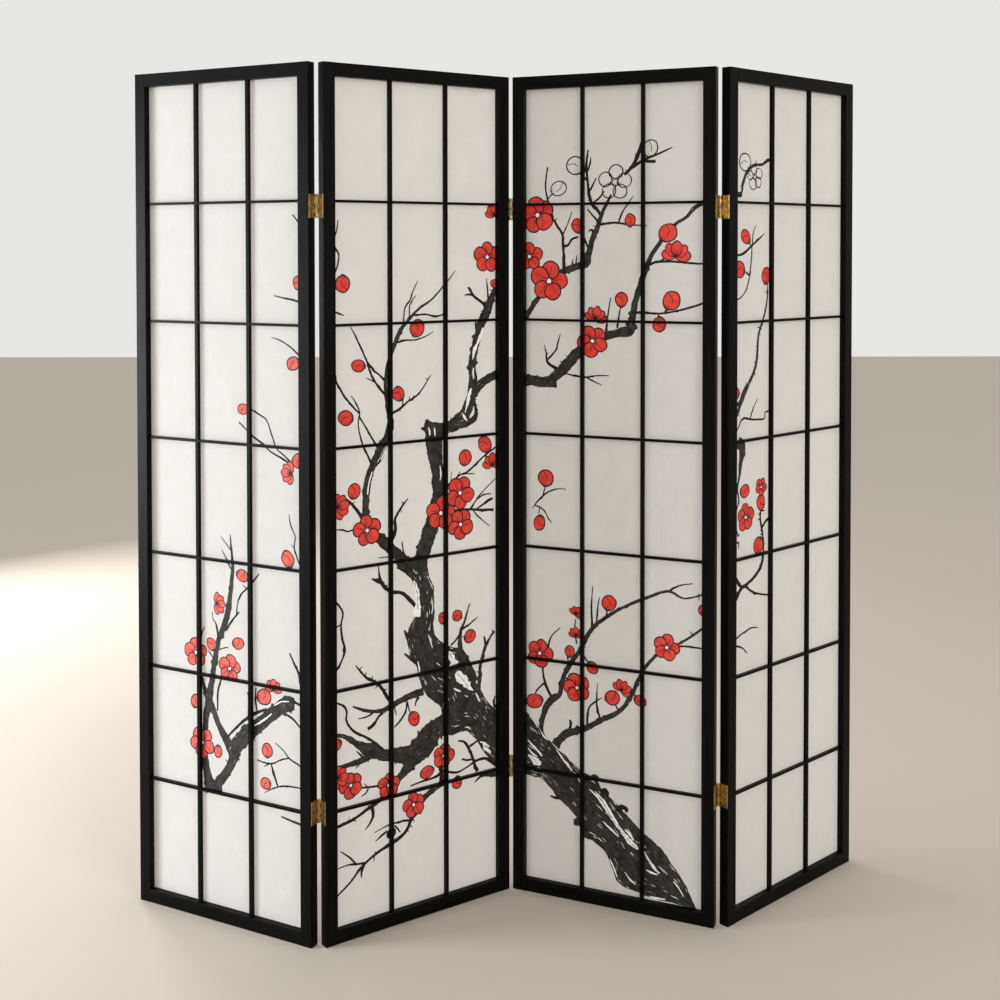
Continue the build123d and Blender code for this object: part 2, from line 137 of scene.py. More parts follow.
# Limbs and twigs follow points of (across, up, width).
LIMBS = {
    1: (
        ((190, 268, 34), (176, 298, 20), (168, 338, 15), (168, 380, 14), (172, 420, 14), (180, 455, 17),
         (188, 500, 13), (196, 545, 12), (206, 588, 11), (222, 622, 13), (233, 658, 12), (240, 700, 10),
         (245, 742, 8), (243, 778, 5), (239, 816, 2)),
        ((196, 268, 30), (206, 288, 22), (222, 308, 18), (238, 332, 18), (250, 358, 22), (262, 380, 14)),
        ((236, 356, 26), (262, 384, 30), (290, 411, 30), (320, 434, 26), (352, 461, 26), (384, 482, 28),
         (402, 484, 24)),
        ((228, 388, 4), (250, 410, 5), (275, 432, 6), (300, 449, 6), (332, 464, 4)),
        ((244, 360, 24), (224, 385, 17), (205, 412, 13), (192, 440, 12), (178, 464, 15), (168, 486, 9),
         (160, 512, 5)),
        ((203, 440, 3), (204, 478, 5), (210, 500, 4), (219, 518, 3)),
        ((430, 428, 3), (412, 442, 4), (395, 455, 4), (368, 464, 5)),
        ((430, 476, 3), (412, 486, 5), (396, 490, 8)),
        ((304, 504, 3), (303, 478, 4), (308, 452, 3)),
        ((284, 432, 5), (286, 460, 5), (284, 492, 4)),
        ((430, 350, 3), (412, 361, 3), (388, 371, 3), (374, 384, 2.5), (353, 397, 1.5)),
        ((388, 371, 3), (368, 365, 3), (348, 354, 3), (328, 351, 3), (306, 354, 2.5)),
        ((342, 352, 3), (350, 330, 5), (359, 308, 3)),
        ((338, 351, 2.5), (324, 343, 1.5)),
        ((430, 314, 3), (402, 314, 3), (378, 312, 3.5), (360, 307, 3), (344, 300, 2.5), (325, 289, 1.5)),
        ((430, 238, 4), (396, 243, 4), (367, 247, 2.5)),
        ((390, 588, 3), (400, 570, 4), (412, 550, 5), (416, 528, 4)),
        ((226, 612, 5), (240, 632, 4), (252, 646, 3.5), (262, 656, 2)),
        ((255, 648, 3.5), (257, 670, 3), (264, 690, 3), (280, 706, 3.5), (298, 724, 3.5), (314, 742, 2)),
        ((286, 705, 3), (272, 713, 1.5)),
        ((206, 590, 4), (203, 612, 5), (200, 624, 3), (193, 632, 2.5), (190, 647, 1.5)),
        ((222, 622, 4), (213, 612, 1.5)),
        ((240, 744, 4), (230, 762, 3), (217, 782, 1.5)),
        ((243, 782, 3), (232, 792, 2.5), (215, 809, 1.5)),
        ((160, 588, 3), (163, 600, 3), (170, 614, 1.5)),
        ((232, 578, 2), (218, 574, 2), (208, 570, 3)),
        ((178, 566, 2), (190, 552, 3), (194, 545, 2)),
        ((418, 768, 3), (410, 784, 3), (403, 804, 3), (405, 828, 2.5), (394, 850, 3), (390, 872, 1.5)),
        ((403, 804, 2.5), (394, 811, 1.5)),
        ((402, 972, 4), (380, 990, 3), (360, 1004, 3), (348, 1030, 3), (335, 1060, 3), (316, 1071, 3.5),
         (297, 1080, 2.5)),
        ((402, 972, 4), (374, 984, 4), (344, 997, 3), (325, 1011, 4), (300, 1025, 4), (280, 1040, 3),
         (263, 1052, 2)),
        ((430, 1454, 4), (416, 1466, 4), (402, 1480, 2)),
        ((430, 1300, 3), (406, 1307, 4), (380, 1311, 3), (355, 1316, 1.5)),
        ((430, 1186, 4), (412, 1200, 3.5), (394, 1213, 3), (370, 1225, 2.5), (348, 1230, 1.5)),
    ),
    2: (
        ((237, 758, 30), (251, 800, 33), (267, 842, 29), (276, 882, 28), (277, 926, 27), (272, 966, 31),
         (267, 1002, 40), (268, 1040, 42)),
        ((244, 1044, 12), (266, 1036, 14), (296, 1030, 20), (322, 1036, 27), (345, 1056, 26),
         (360, 1086, 23), (367, 1122, 20), (365, 1160, 17), (372, 1200, 17), (385, 1240, 18),
         (401, 1272, 20), (416, 1306, 14), (428, 1332, 8)),
        ((330, 1034, 18), (352, 1036, 14), (370, 1044, 12), (376, 1058, 9)),
        ((366, 1092, 14), (384, 1116, 18), (406, 1128, 17), (430, 1138, 17)),
        ((376, 1058, 8), (371, 1078, 5), (366, 1096, 6)),
        ((404, 1284, 7), (388, 1296, 6), (370, 1308, 6), (362, 1318, 5), (355, 1329, 5)),
        ((366, 1311, 5), (356, 1313, 4), (345, 1311, 2.5)),
        ((408, 1292, 5), (405, 1318, 4), (402, 1347, 1.5)),
        ((420, 1314, 4), (412, 1308, 3), (404, 1303, 2)),
        ((378, 1222, 5), (375, 1238, 5), (373, 1254, 2.5)),
        ((382, 1232, 3), (388, 1241, 1.5)),
        ((222, 738, 26), (205, 752, 22), (184, 766, 20), (162, 786, 20), (140, 806, 20), (118, 826, 16)),
        ((101, 850, 14), (101, 880, 14), (103, 912, 15), (110, 946, 15), (121, 970, 14), (136, 1000, 15),
         (152, 1022, 14), (161, 1046, 15), (158, 1076, 12), (153, 1102, 10), (150, 1130, 9),
         (153, 1160, 8), (161, 1190, 8), (173, 1216, 9), (186, 1242, 8), (206, 1263, 6), (230, 1285, 4.5),
         (256, 1300, 4), (276, 1316, 3.5), (293, 1334, 3), (306, 1346, 2.5), (321, 1364, 1.5)),
        ((117, 964, 4), (105, 990, 4), (95, 1010, 4), (88, 1034, 3), (85, 1054, 3), (88, 1076, 3),
         (79, 1098, 2.5), (68, 1112, 1.5)),
        ((136, 992, 5), (119, 1018, 4), (103, 1044, 3.5), (86, 1070, 3)),
        ((125, 962, 4), (140, 978, 5), (150, 1000, 4), (155, 1016, 4)),
        ((88, 1074, 3), (72, 1090, 3.5), (56, 1108, 4), (44, 1126, 4), (36, 1140, 4), (30, 1166, 3)),
        ((152, 1106, 5), (140, 1118, 5), (124, 1138, 4), (113, 1158, 4), (103, 1186, 4), (90, 1212, 3.5),
         (79, 1234, 3), (67, 1254, 1.5)),
        ((148, 1138, 5), (136, 1150, 4), (120, 1162, 4), (108, 1178, 3)),
        ((126, 1136, 3), (105, 1146, 1.5)),
        ((160, 1068, 7), (184, 1078, 5), (203, 1091, 4), (226, 1104, 3.5), (241, 1119, 3), (259, 1144, 1.5)),
        ((190, 1084, 3), (192, 1100, 2)),
        ((176, 1216, 5), (196, 1220, 3.5), (220, 1220, 3), (245, 1226, 2.5), (266, 1236, 1.5)),
        ((193, 1256, 3), (196, 1286, 3), (209, 1304, 3), (216, 1322, 2.5), (228, 1344, 1.5)),
        ((207, 1268, 2.5), (208, 1290, 2.5), (215, 1304, 2), (223, 1313, 1.5)),
        ((218, 1272, 4), (246, 1273, 3.5), (272, 1268, 4), (294, 1273, 2.5)),
        ((100, 856, 8), (84, 872, 7), (68, 892, 5), (52, 905, 4)),
        ((76, 838, 3), (60, 835, 3), (46, 840, 3), (30, 842, 2)),
        ((128, 818, 6), (148, 812, 4), (166, 806, 4)),
        ((163, 806, 9), (172, 826, 7), (171, 846, 6), (180, 862, 5), (191, 876, 4), (203, 888, 1.5)),
        ((158, 880, 3), (160, 860, 4), (160, 832, 4)),
        ((199, 758, 6), (191, 778, 4), (188, 799, 2)),
        ((157, 771, 2.5), (132, 772, 2)),
        ((225, 654, 8), (206, 674, 8), (186, 691, 7), (162, 697, 7), (143, 712, 8), (134, 732, 5),
         (131, 756, 1.5)),
        ((145, 716, 7), (128, 724, 7), (115, 731, 3)),
        ((22, 706, 4), (38, 688, 4), (48, 670, 4), (44, 646, 4), (46, 620, 5), (51, 598, 5), (47, 576, 4),
         (30, 552, 4)),
        ((46, 648, 3), (34, 643, 2.5)),
        ((208, 586, 14), (198, 602, 8), (193, 612, 3)),
        ((226, 540, 14), (208, 550, 8), (193, 562, 3)),
        ((222, 735, 9), (198, 736, 6), (174, 746, 2)),
        ((306, 396, 44), (270, 386, 42), (244, 364, 52), (214, 346, 44), (180, 350, 30), (146, 358, 22),
         (113, 374, 27), (92, 386, 18), (70, 402, 10), (50, 416, 8), (22, 424, 7)),
        ((122, 366, 14), (92, 358, 12), (60, 355, 9), (22, 354, 8)),
        ((236, 350, 30), (214, 332, 28), (194, 313, 20), (172, 297, 13)),
        ((145, 366, 4), (126, 384, 5), (104, 402, 5), (78, 418, 5), (62, 434, 4), (55, 450, 4),
         (56, 466, 4), (48, 480, 4), (28, 490, 3)),
        ((84, 392, 5), (74, 404, 4), (64, 414, 2)),
        ((100, 358, 4), (88, 370, 4), (78, 380, 2)),
        ((84, 356, 3), (77, 344, 1.5)),
        ((240, 474, 16), (215, 471, 14), (190, 466, 12), (164, 458, 11), (140, 452, 9), (116, 455, 7),
         (96, 461, 6), (70, 474, 3)),
        ((118, 452, 4), (102, 446, 3.5), (83, 446, 2)),
        ((150, 452, 5), (132, 442, 5), (120, 428, 6), (105, 420, 6)),
        ((164, 462, 8), (150, 480, 7), (140, 497, 6), (124, 514, 5), (104, 526, 5), (90, 541, 4),
         (77, 558, 2)),
        ((128, 506, 4), (122, 520, 2)),
        ((198, 458, 3), (196, 440, 4), (184, 424, 4), (168, 411, 3)),
        ((200, 460, 3), (203, 445, 2.5), (206, 436, 2)),
        ((228, 464, 6), (222, 456, 4), (219, 446, 2)),
        ((168, 456, 4), (173, 436, 2)),
        ((372, 470, 16), (352, 512, 16), (336, 540, 13), (332, 560, 9), (334, 586, 7), (344, 606, 5),
         (350, 624, 4), (357, 643, 2)),
        ((336, 590, 5), (356, 598, 4), (378, 611, 2)),
        ((336, 586, 6), (324, 572, 4), (309, 560, 4)),
        ((378, 438, 14), (382, 470, 8), (384, 500, 7), (390, 522, 7), (399, 544, 7), (410, 560, 5),
         (422, 573, 4)),
        ((399, 546, 6), (395, 566, 4)),
        ((424, 402, 6), (420, 416, 5), (424, 430, 3)),
        ((292, 292, 6), (268, 284, 5), (240, 282, 4), (207, 279, 3)),
        ((288, 342, 7), (281, 315, 8), (284, 290, 9), (282, 262, 9)),
        ((296, 268, 12), (270, 262, 12), (248, 250, 12), (232, 236, 8)),
        ((326, 350, 3), (342, 344, 5), (354, 328, 6), (362, 310, 6), (369, 290, 6), (376, 272, 6)),
        ((378, 340, 4), (366, 335, 4), (354, 330, 4)),
        ((336, 308, 4), (350, 303, 4), (362, 302, 4)),
        ((302, 288, 5), (325, 282, 4), (350, 288, 4), (376, 297, 5), (398, 296, 6), (414, 285, 6),
         (430, 272, 7)),
        ((370, 250, 3), (386, 260, 6), (402, 262, 12), (430, 260, 20)),
        ((226, 220, 8), (208, 206, 8), (200, 190, 7), (186, 178, 7), (166, 170, 8), (140, 162, 6),
         (116, 152, 5), (98, 142, 5), (84, 132, 5), (70, 118, 4), (52, 104, 4), (28, 88, 3)),
        ((98, 143, 4), (76, 146, 4), (56, 149, 3), (24, 146, 2)),
        ((96, 140, 5), (90, 128, 5), (89, 114, 1.5)),
        ((119, 152, 3), (118, 141, 1.5)),
        ((78, 144, 4), (62, 163, 3.5), (41, 181, 2)),
        ((208, 206, 5), (182, 209, 4), (152, 208, 3), (120, 201, 1.5)),
        ((168, 204, 4), (176, 195, 3), (182, 186, 3)),
        ((150, 197, 4), (136, 190, 4), (122, 181, 1.5)),
        ((146, 272, 10), (124, 262, 9), (104, 254, 7), (84, 245, 7), (60, 238, 6), (24, 232, 6)),
        ((114, 256, 8), (117, 238, 6), (109, 222, 4), (97, 212, 1.5)),
        ((136, 296, 4), (112, 298, 4), (88, 302, 2.5)),
        ((106, 296, 3), (100, 288, 3), (90, 284, 2)),
        ((104, 300, 3), (97, 308, 2)),
        ((300, 906, 4), (318, 914, 5), (330, 924, 4), (352, 930, 4), (374, 945, 4), (395, 960, 4),
         (430, 980, 3)),
        ((334, 926, 3), (352, 926, 2.5), (371, 924, 1.5)),
        ((309, 912, 3), (311, 934, 1.5)),
        ((322, 918, 3), (333, 932, 2)),
        ((318, 850, 4), (346, 849, 4), (378, 845, 5), (420, 840, 5)),
        ((376, 847, 4), (392, 855, 4), (406, 862, 6), (418, 866, 4)),
        ((360, 850, 3), (376, 868, 3), (395, 886, 2.5), (424, 908, 1.5)),
        ((376, 868, 2.5), (394, 876, 3), (414, 876, 2)),
        ((364, 848, 3), (380, 830, 3), (409, 806, 1.5)),
        ((400, 958, 3), (404, 972, 2)),
        ((24, 1428, 3), (34, 1412, 4), (42, 1396, 3), (36, 1370, 3), (26, 1352, 2)),
        ((40, 1470, 1.5), (37, 1448, 3), (30, 1430, 3)),
        ((24, 1290, 3), (38, 1281, 3), (53, 1276, 1.5)),
    ),
    3: (
        ((196, 232, 9), (206, 244, 10), (215, 240, 7), (214, 234, 4)),
        ((236, 204, 9), (246, 215, 11), (256, 213, 9), (258, 206, 5)),
        ((176, 262, 12), (186, 272, 11), (194, 266, 8)),
        ((106, 214, 8), (94, 211, 6), (83, 214, 3)),
        ((160, 160, 14), (147, 170, 13), (141, 158, 8)),
        ((176, 138, 12), (166, 144, 10), (160, 134, 5)),
        ((94, 326, 18), (106, 342, 15), (122, 357, 15), (160, 372, 12), (200, 396, 10), (244, 424, 9),
         (270, 464, 8), (291, 510, 7), (318, 546, 6), (345, 566, 5), (382, 588, 5), (428, 623, 4)),
        ((358, 572, 5), (384, 578, 4), (428, 577, 3)),
        ((200, 396, 5), (190, 428, 4), (192, 476, 1.5)),
        ((168, 378, 5), (172, 418, 4), (186, 434, 3), (202, 446, 1.5)),
        ((126, 358, 7), (130, 374, 6), (129, 388, 4)),
        ((240, 422, 4), (232, 436, 3), (229, 450, 2)),
        ((272, 466, 4), (280, 456, 3), (288, 452, 2)),
        ((60, 340, 13), (61, 362, 10), (66, 388, 11), (74, 410, 13), (90, 430, 15), (104, 440, 10),
         (110, 466, 9), (118, 490, 9), (130, 510, 9),
         (150, 540, 9), (170, 578, 9), (186, 600, 8), (216, 624, 7), (250, 646, 6), (300, 671, 6),
         (348, 690, 5), (384, 679, 4), (428, 692, 3)),
        ((180, 592, 5), (178, 640, 3.5), (181, 686, 1.5)),
        ((190, 606, 4), (192, 634, 3), (196, 662, 1.5)),
        ((88, 428, 6), (72, 458, 5), (65, 498, 4), (76, 536, 4), (86, 566, 3), (106, 586, 1.5)),
        ((70, 462, 4), (54, 446, 3), (46, 432, 2)),
        ((112, 482, 4), (128, 472, 3), (142, 464, 2.5)),
        ((152, 544, 4), (166, 524, 3), (178, 512, 2)),
        ((128, 508, 4), (122, 528, 3), (128, 540, 2)),
        ((144, 556, 3), (140, 590, 3), (142, 610, 2)),
        ((348, 690, 4), (372, 704, 3), (402, 712, 1.5)),
        ((212, 622, 4), (214, 640, 2)),
        ((40, 842, 1.5), (56, 862, 3), (76, 880, 3), (98, 889, 2.5), (119, 890, 1.5)),
        ((45, 850, 2), (58, 847, 3), (70, 838, 3), (78, 824, 2.5), (86, 814, 1.5)),
        ((66, 872, 2.5), (70, 888, 2.5), (72, 900, 2)),
        ((58, 846, 2.5), (56, 832, 2)),
        ((110, 1144, 2), (134, 1138, 3.5), (164, 1135, 3.5), (190, 1139, 3), (217, 1140, 1.5)),
        ((168, 1134, 3), (184, 1126, 2.5), (201, 1119, 1.5)),
        ((24, 1124, 16), (40, 1123, 20), (66, 1121, 20), (98, 1122, 24)),
        ((84, 1128, 16), (104, 1142, 21), (126, 1166, 21), (150, 1192, 19), (176, 1212, 15),
         (210, 1224, 17), (238, 1232, 16), (262, 1237, 21), (269, 1262, 14), (276, 1300, 12),
         (288, 1338, 11), (298, 1366, 11), (312, 1398, 9), (330, 1424, 8), (346, 1444, 7), (366, 1464, 6),
         (388, 1478, 6), (402, 1494, 8), (430, 1512, 8)),
        ((298, 1372, 5), (322, 1383, 5), (356, 1384, 4), (388, 1381, 4), (428, 1379, 3)),
        ((270, 1276, 6), (298, 1276, 5), (332, 1275, 4), (366, 1281, 4), (400, 1290, 4), (428, 1300, 3)),
        ((326, 1276, 3), (329, 1262, 2.5)),
        ((340, 1278, 3), (352, 1290, 2.5)),
        ((330, 1384, 3), (346, 1396, 3), (358, 1402, 2)),
        ((210, 1234, 5), (214, 1262, 3.5), (217, 1286, 3), (221, 1307, 1.5)),
        ((214, 1264, 3), (202, 1272, 2.5), (194, 1274, 2)),
        ((236, 1242, 4), (240, 1272, 3), (245, 1292, 2)),
        ((104, 1148, 7), (84, 1158, 6), (75, 1168, 5), (73, 1184, 3), (69, 1202, 1.5)),
        ((76, 1170, 4), (95, 1190, 3.5), (100, 1206, 3), (106, 1227, 1.5)),
        ((22, 1258, 9), (34, 1274, 11), (48, 1296, 10), (78, 1332, 10), (110, 1360, 14), (142, 1372, 14),
         (164, 1379, 17), (172, 1402, 13), (180, 1432, 11), (192, 1460, 10), (202, 1488, 7), (212, 1508, 6),
         (222, 1526, 4)),
        ((251, 1567, 5), (262, 1577, 6), (272, 1590, 7), (280, 1606, 8), (288, 1628, 7), (294, 1640, 5)),
        ((132, 1372, 4), (134, 1380, 3), (136, 1390, 1.5)),
        ((142, 1374, 4), (143, 1384, 3), (144, 1397, 1.5)),
        ((152, 1376, 4), (154, 1384, 3), (157, 1392, 1.5)),
        ((172, 1410, 5), (164, 1426, 4), (160, 1440, 2)),
        ((184, 1446, 6), (176, 1452, 4), (171, 1446, 2)),
        ((266, 1580, 5), (284, 1592, 6), (300, 1600, 4.5), (326, 1610, 4), (356, 1622, 2.5)),
        ((288, 1596, 5), (304, 1594, 6), (320, 1594, 6)),
        ((293, 1622, 3), (294, 1606, 3), (298, 1600, 2)),
        ((196, 1462, 5), (228, 1466, 4), (262, 1462, 3.5), (301, 1459, 1.5)),
        ((238, 1466, 3.5), (248, 1490, 3), (258, 1504, 2.5), (271, 1522, 1.5)),
        ((200, 1482, 7), (188, 1496, 6), (178, 1508, 6), (172, 1528, 6), (169, 1552, 5), (166, 1580, 5),
         (167, 1602, 4), (170, 1622, 2.5)),
        ((172, 1534, 5), (180, 1546, 4), (188, 1562, 2)),
        ((168, 1576, 4), (174, 1592, 3.5), (176, 1606, 2)),
        ((170, 1556, 4), (160, 1566, 4), (162, 1580, 3), (158, 1604, 2)),
        ((180, 1508, 4), (196, 1520, 3.5), (206, 1534, 2.5)),
        ((194, 1458, 4), (188, 1474, 4), (178, 1484, 3), (168, 1496, 2)),
        ((115, 1362, 8), (114, 1392, 6), (112, 1420, 5), (110, 1444, 5), (100, 1458, 5), (88, 1478, 4)),
        ((110, 1438, 3), (122, 1462, 2.5), (133, 1491, 1.5)),
        ((90, 1474, 4), (84, 1496, 3.5), (76, 1520, 4), (72, 1540, 3.5), (73, 1562, 3.5), (76, 1588, 3)),
        ((77, 1518, 3), (84, 1526, 2.5), (90, 1530, 2)),
        ((114, 1416, 4.5), (124, 1420, 4), (134, 1432, 4), (148, 1436, 3)),
    ),
    4: (
        ((22, 1516, 12), (44, 1524, 8), (58, 1528, 6), (62, 1546, 7), (74, 1568, 7), (90, 1582, 7),
         (110, 1588, 6), (130, 1590, 6), (150, 1599, 6), (172, 1602, 5)),
        ((60, 1524, 5), (50, 1522, 7), (36, 1521, 8)),
        ((106, 1588, 3), (108, 1598, 1.5)),
        ((82, 1576, 3), (84, 1568, 2), (90, 1563, 2)),
        ((24, 1396, 4), (48, 1397, 4), (66, 1401, 5), (86, 1412, 5), (102, 1422, 4), (120, 1432, 3.5),
         (138, 1443, 1.5)),
        ((24, 1306, 3), (46, 1305, 3), (62, 1312, 3), (76, 1326, 3), (86, 1350, 3.5), (92, 1384, 3.5),
         (95, 1414, 3.5), (99, 1444, 3), (108, 1459, 1.5)),
        ((87, 1354, 4), (80, 1358, 4), (74, 1362, 3)),
        ((94, 1414, 4), (86, 1422, 4), (80, 1426, 3)),
        ((150, 1336, 3), (149, 1304, 4), (142, 1278, 5), (130, 1252, 6), (118, 1226, 6), (115, 1196, 6),
         (110, 1166, 7), (99, 1144, 8), (80, 1120, 9), (63, 1097, 12), (50, 1072, 8), (36, 1048, 5)),
        ((104, 1150, 5), (108, 1142, 2)),
        ((60, 1094, 10), (50, 1086, 9), (38, 1084, 8)),
        ((36, 1020, 3), (50, 1036, 3), (60, 1050, 4), (72, 1054, 4), (92, 1050, 4), (112, 1048, 3.5),
         (140, 1048, 3), (142, 1060, 3), (160, 1063, 3)),
        ((90, 1050, 3.5), (100, 1072, 3), (117, 1093, 1.5)),
        ((48, 1008, 18), (62, 996, 23), (62, 978, 16), (57, 956, 11), (54, 934, 7), (47, 908, 5),
         (52, 884, 4), (44, 862, 3)),
        ((56, 906, 3), (66, 896, 2.5)),
        ((142, 850, 3), (128, 849, 4), (127, 830, 5), (132, 814, 6), (137, 790, 5), (138, 766, 6),
         (135, 744, 7), (124, 725, 7), (104, 711, 7), (80, 701, 7), (60, 694, 8), (36, 668, 11)),
        ((133, 814, 5), (146, 826, 5), (162, 834, 4)),
        ((36, 730, 6), (50, 710, 7), (62, 698, 7)),
        ((74, 700, 6), (94, 685, 5), (118, 675, 4), (162, 664, 3)),
        ((24, 588, 3), (44, 592, 3), (70, 600, 3), (98, 605, 3), (122, 601, 1.5)),
        ((24, 584, 4), (46, 576, 4), (66, 568, 3), (83, 554, 1.5)),
        ((44, 822, 3), (50, 808, 3), (54, 812, 1.5)),
        ((36, 790, 3), (52, 794, 3), (50, 780, 2)),
    ),
}

# Long gaps that a dry brush left in the trunks follow points of (across, up, width).
BARE_STREAKS = {
    1: (
        ((300, 424, 2), (322, 438, 4), (344, 456, 2)),
        ((350, 474, 1.5), (368, 484, 3), (388, 488, 1.5)),
    ),
    2: (
        ((216, 712, 3), (221, 698, 9), (225, 678, 12), (226, 660, 11), (225, 642, 17), (224, 635, 14)),
        ((305, 548, 4), (310, 536, 14), (313, 524, 21), (314, 517, 22)),
        ((322, 499, 12), (333, 488, 21), (347, 471, 17), (358, 458, 8), (366, 452, 2)),
        ((372, 446, 2), (378, 436, 5), (384, 424, 2)),
        ((316, 466, 2), (324, 460, 4), (334, 456, 2)),
        ((392, 330, 3), (400, 318, 9), (412, 306, 5)),
        ((384, 336, 2), (396, 330, 5), (408, 320, 3)),
        ((252, 592, 2), (258, 578, 4), (262, 562, 2)),
        ((262, 664, 1.5), (263, 650, 2.5), (261, 636, 1.5)),
        ((226, 540, 2), (229, 524, 4), (228, 508, 2)),
        ((288, 1004, 2), (291, 980, 5), (290, 956, 3)),
        ((282, 950, 2), (284, 932, 3.5), (282, 918, 2)),
        ((253, 1034, 2), (256, 1026, 4), (257, 1016, 2)),
        ((268, 1032, 2), (269, 1024, 4), (270, 1014, 2)),
        ((340, 1056, 3), (345, 1048, 5), (352, 1040, 2)),
        ((346, 1058, 2), (352, 1076, 5), (358, 1096, 7), (362, 1110, 3)),
        ((368, 1130, 2), (367, 1142, 4), (368, 1154, 2)),
        ((366, 1172, 2), (370, 1190, 8), (378, 1206, 6), (386, 1222, 6), (392, 1240, 3)),
        ((106, 906, 2), (110, 930, 4), (117, 952, 2)),
        ((138, 974, 2), (146, 988, 3), (150, 1002, 2)),
    ),
    3: (
        ((174, 242, 2), (190, 230, 4), (206, 212, 5), (216, 198, 2)),
        ((186, 240, 1.5), (206, 222, 5), (224, 196, 5), (238, 178, 3)),
        ((204, 178, 1.5), (222, 164, 4), (240, 150, 2)),
        ((212, 200, 2), (230, 182, 5), (248, 162, 8), (266, 144, 11), (284, 131, 4)),
        ((254, 168, 2), (266, 158, 5), (274, 148, 3)),
        ((298, 128, 2), (308, 112, 5), (322, 94, 6), (332, 88, 2)),
        ((306, 112, 1.5), (318, 102, 3), (328, 88, 2)),
        ((302, 90, 2), (314, 86, 6), (328, 84, 2)),
        ((97, 318, 2), (112, 300, 4), (134, 278, 3)),
        ((110, 300, 2), (124, 290, 3), (132, 276, 1.5)),
        ((146, 264, 2), (154, 252, 5), (160, 240, 3)),
        ((30, 330, 3), (42, 318, 4), (56, 306, 5), (64, 298, 2)),
        ((31, 296, 6), (42, 290, 10), (54, 284, 16), (58, 277, 8)),
        ((30, 312, 2), (40, 302, 4), (52, 296, 3)),
        ((220, 98, 1.5), (230, 80, 3.5), (237, 62, 2)),
        ((254, 76, 1.5), (266, 62, 3), (278, 54, 1.5)),
        ((34, 384, 1.5), (46, 372, 3), (54, 360, 1.5)),
        ((62, 352, 2), (68, 342, 4), (78, 336, 2)),
        ((362, 76, 1.5), (376, 60, 3), (384, 48, 1.5)),
        ((310, 34, 2), (326, 33, 4), (344, 34, 2)),
    ),
    4: (),
}

# Flowers are (across, up, radius, turn in degrees, kind).
FLOWERS = {
    1: (
        (146, 556, 30, 20, "open"), (162, 366, 32, 50, "open"), (236, 534, 28, 10, "open"),
        (325, 488, 18, 200, "bud"), (349, 507, 20, 90, "side"), (394, 956, 22, 180, "side"),
        (203, 667, 22, 0, "side"), (414, 982, 16, 30, "bud"), (204, 354, 13, 90, "bud"),
        (144, 452, 15, 250, "bud"), (188, 579, 14, 300, "bud"), (259, 590, 15, 200, "bud"),
        (270, 733, 15, 160, "bud"), (332, 378, 15, 270, "bud"), (328, 308, 13, 10, "bud"),
        (274, 1080, 14, 0, "bud"), (387, 780, 18, 300, "bud"), (417, 1342, 15, 300, "bud"),
        (402, 1179, 16, 20, "bud"),
    ),
    2: (
        (36, 334, 22, 0, "side"), (65, 312, 26, 40, "open"), (154, 292, 26, 15, "open"),
        (290, 325, 26, 0, "open"), (215, 237, 26, 30, "open"), (105, 832, 32, 25, "open"),
        (38, 888, 25, 10, "side"), (333, 886, 35, 60, "open"), (284, 848, 36, 10, "open"),
        (334, 818, 31, 55, "open"), (417, 940, 24, 90, "side"), (404, 1393, 33, 15, "open"),
        (422, 1485, 22, 90, "side"), (248, 299, 17, 10, "bud"), (324, 260, 14, 90, "bud"),
        (358, 572, 15, 190, "bud"), (325, 622, 13, 330, "bud"), (288, 622, 13, 290, "bud"),
        (216, 420, 16, 120, "bud"), (75, 916, 16, 250, "bud"), (346, 961, 17, 260, "bud"),
        (397, 986, 20, 300, "bud"), (56, 1067, 17, 340, "bud"), (86, 1172, 16, 350, "bud"),
        (180, 1109, 16, 300, "bud"), (226, 1244, 19, 240, "bud"), (50, 1340, 18, 90, "bud"),
        (424, 1335, 12, 0, "bud"), (160, 190, 11, 30, "dark"), (30, 402, 14, 20, "bud"),
    ),
    3: (
        (58, 525, 30, 0, "open"), (46, 418, 20, 20, "bud"), (145, 460, 30, 35, "open"),
        (246, 468, 21, 60, "side"), (226, 448, 17, 200, "bud"), (346, 571, 27, 5, "open"),
        (142, 574, 16, 90, "side"), (142, 621, 16, 60, "side"), (128, 537, 13, 270, "bud"),
        (180, 508, 14, 120, "bud"), (288, 450, 14, 160, "bud"), (218, 652, 17, 250, "bud"),
        (428, 658, 14, 0, "bud"), (72, 911, 18, 260, "bud"), (57, 812, 17, 80, "bud"),
        (180, 1213, 33, 45, "open"), (347, 1444, 21, 220, "bud"), (364, 1396, 30, 85, "side"),
        (355, 1302, 21, 240, "bud"), (328, 1252, 16, 90, "bud"), (245, 1303, 16, 270, "bud"),
        (186, 1263, 24, 75, "side"), (53, 1484, 38, 30, "open"), (34, 1394, 30, 20, "open"),
        (80, 1341, 42, 8, "open"), (147, 1460, 17, 300, "bud"), (264, 1471, 14, 270, "bud"),
        (230, 1552, 36, 12, "open line"), (308, 1622, 19, 250, "bud line"),
        (102, 1541, 19, 200, "bud line"), (140, 1590, 20, 300, "bud line"),
    ),
    4: (
        (104, 1562, 26, 30, "open line"), (70, 1592, 20, 330, "bud line"), (73, 1436, 18, 320, "bud"),
        (52, 1367, 19, 340, "bud"), (144, 1353, 18, 260, "bud"), (38, 1108, 15, 0, "bud"),
        (73, 900, 16, 190, "bud"), (76, 844, 28, 20, "open"), (130, 902, 19, 60, "open"),
        (129, 869, 17, 100, "bud"), (121, 778, 18, 60, "bud"),
    ),
}

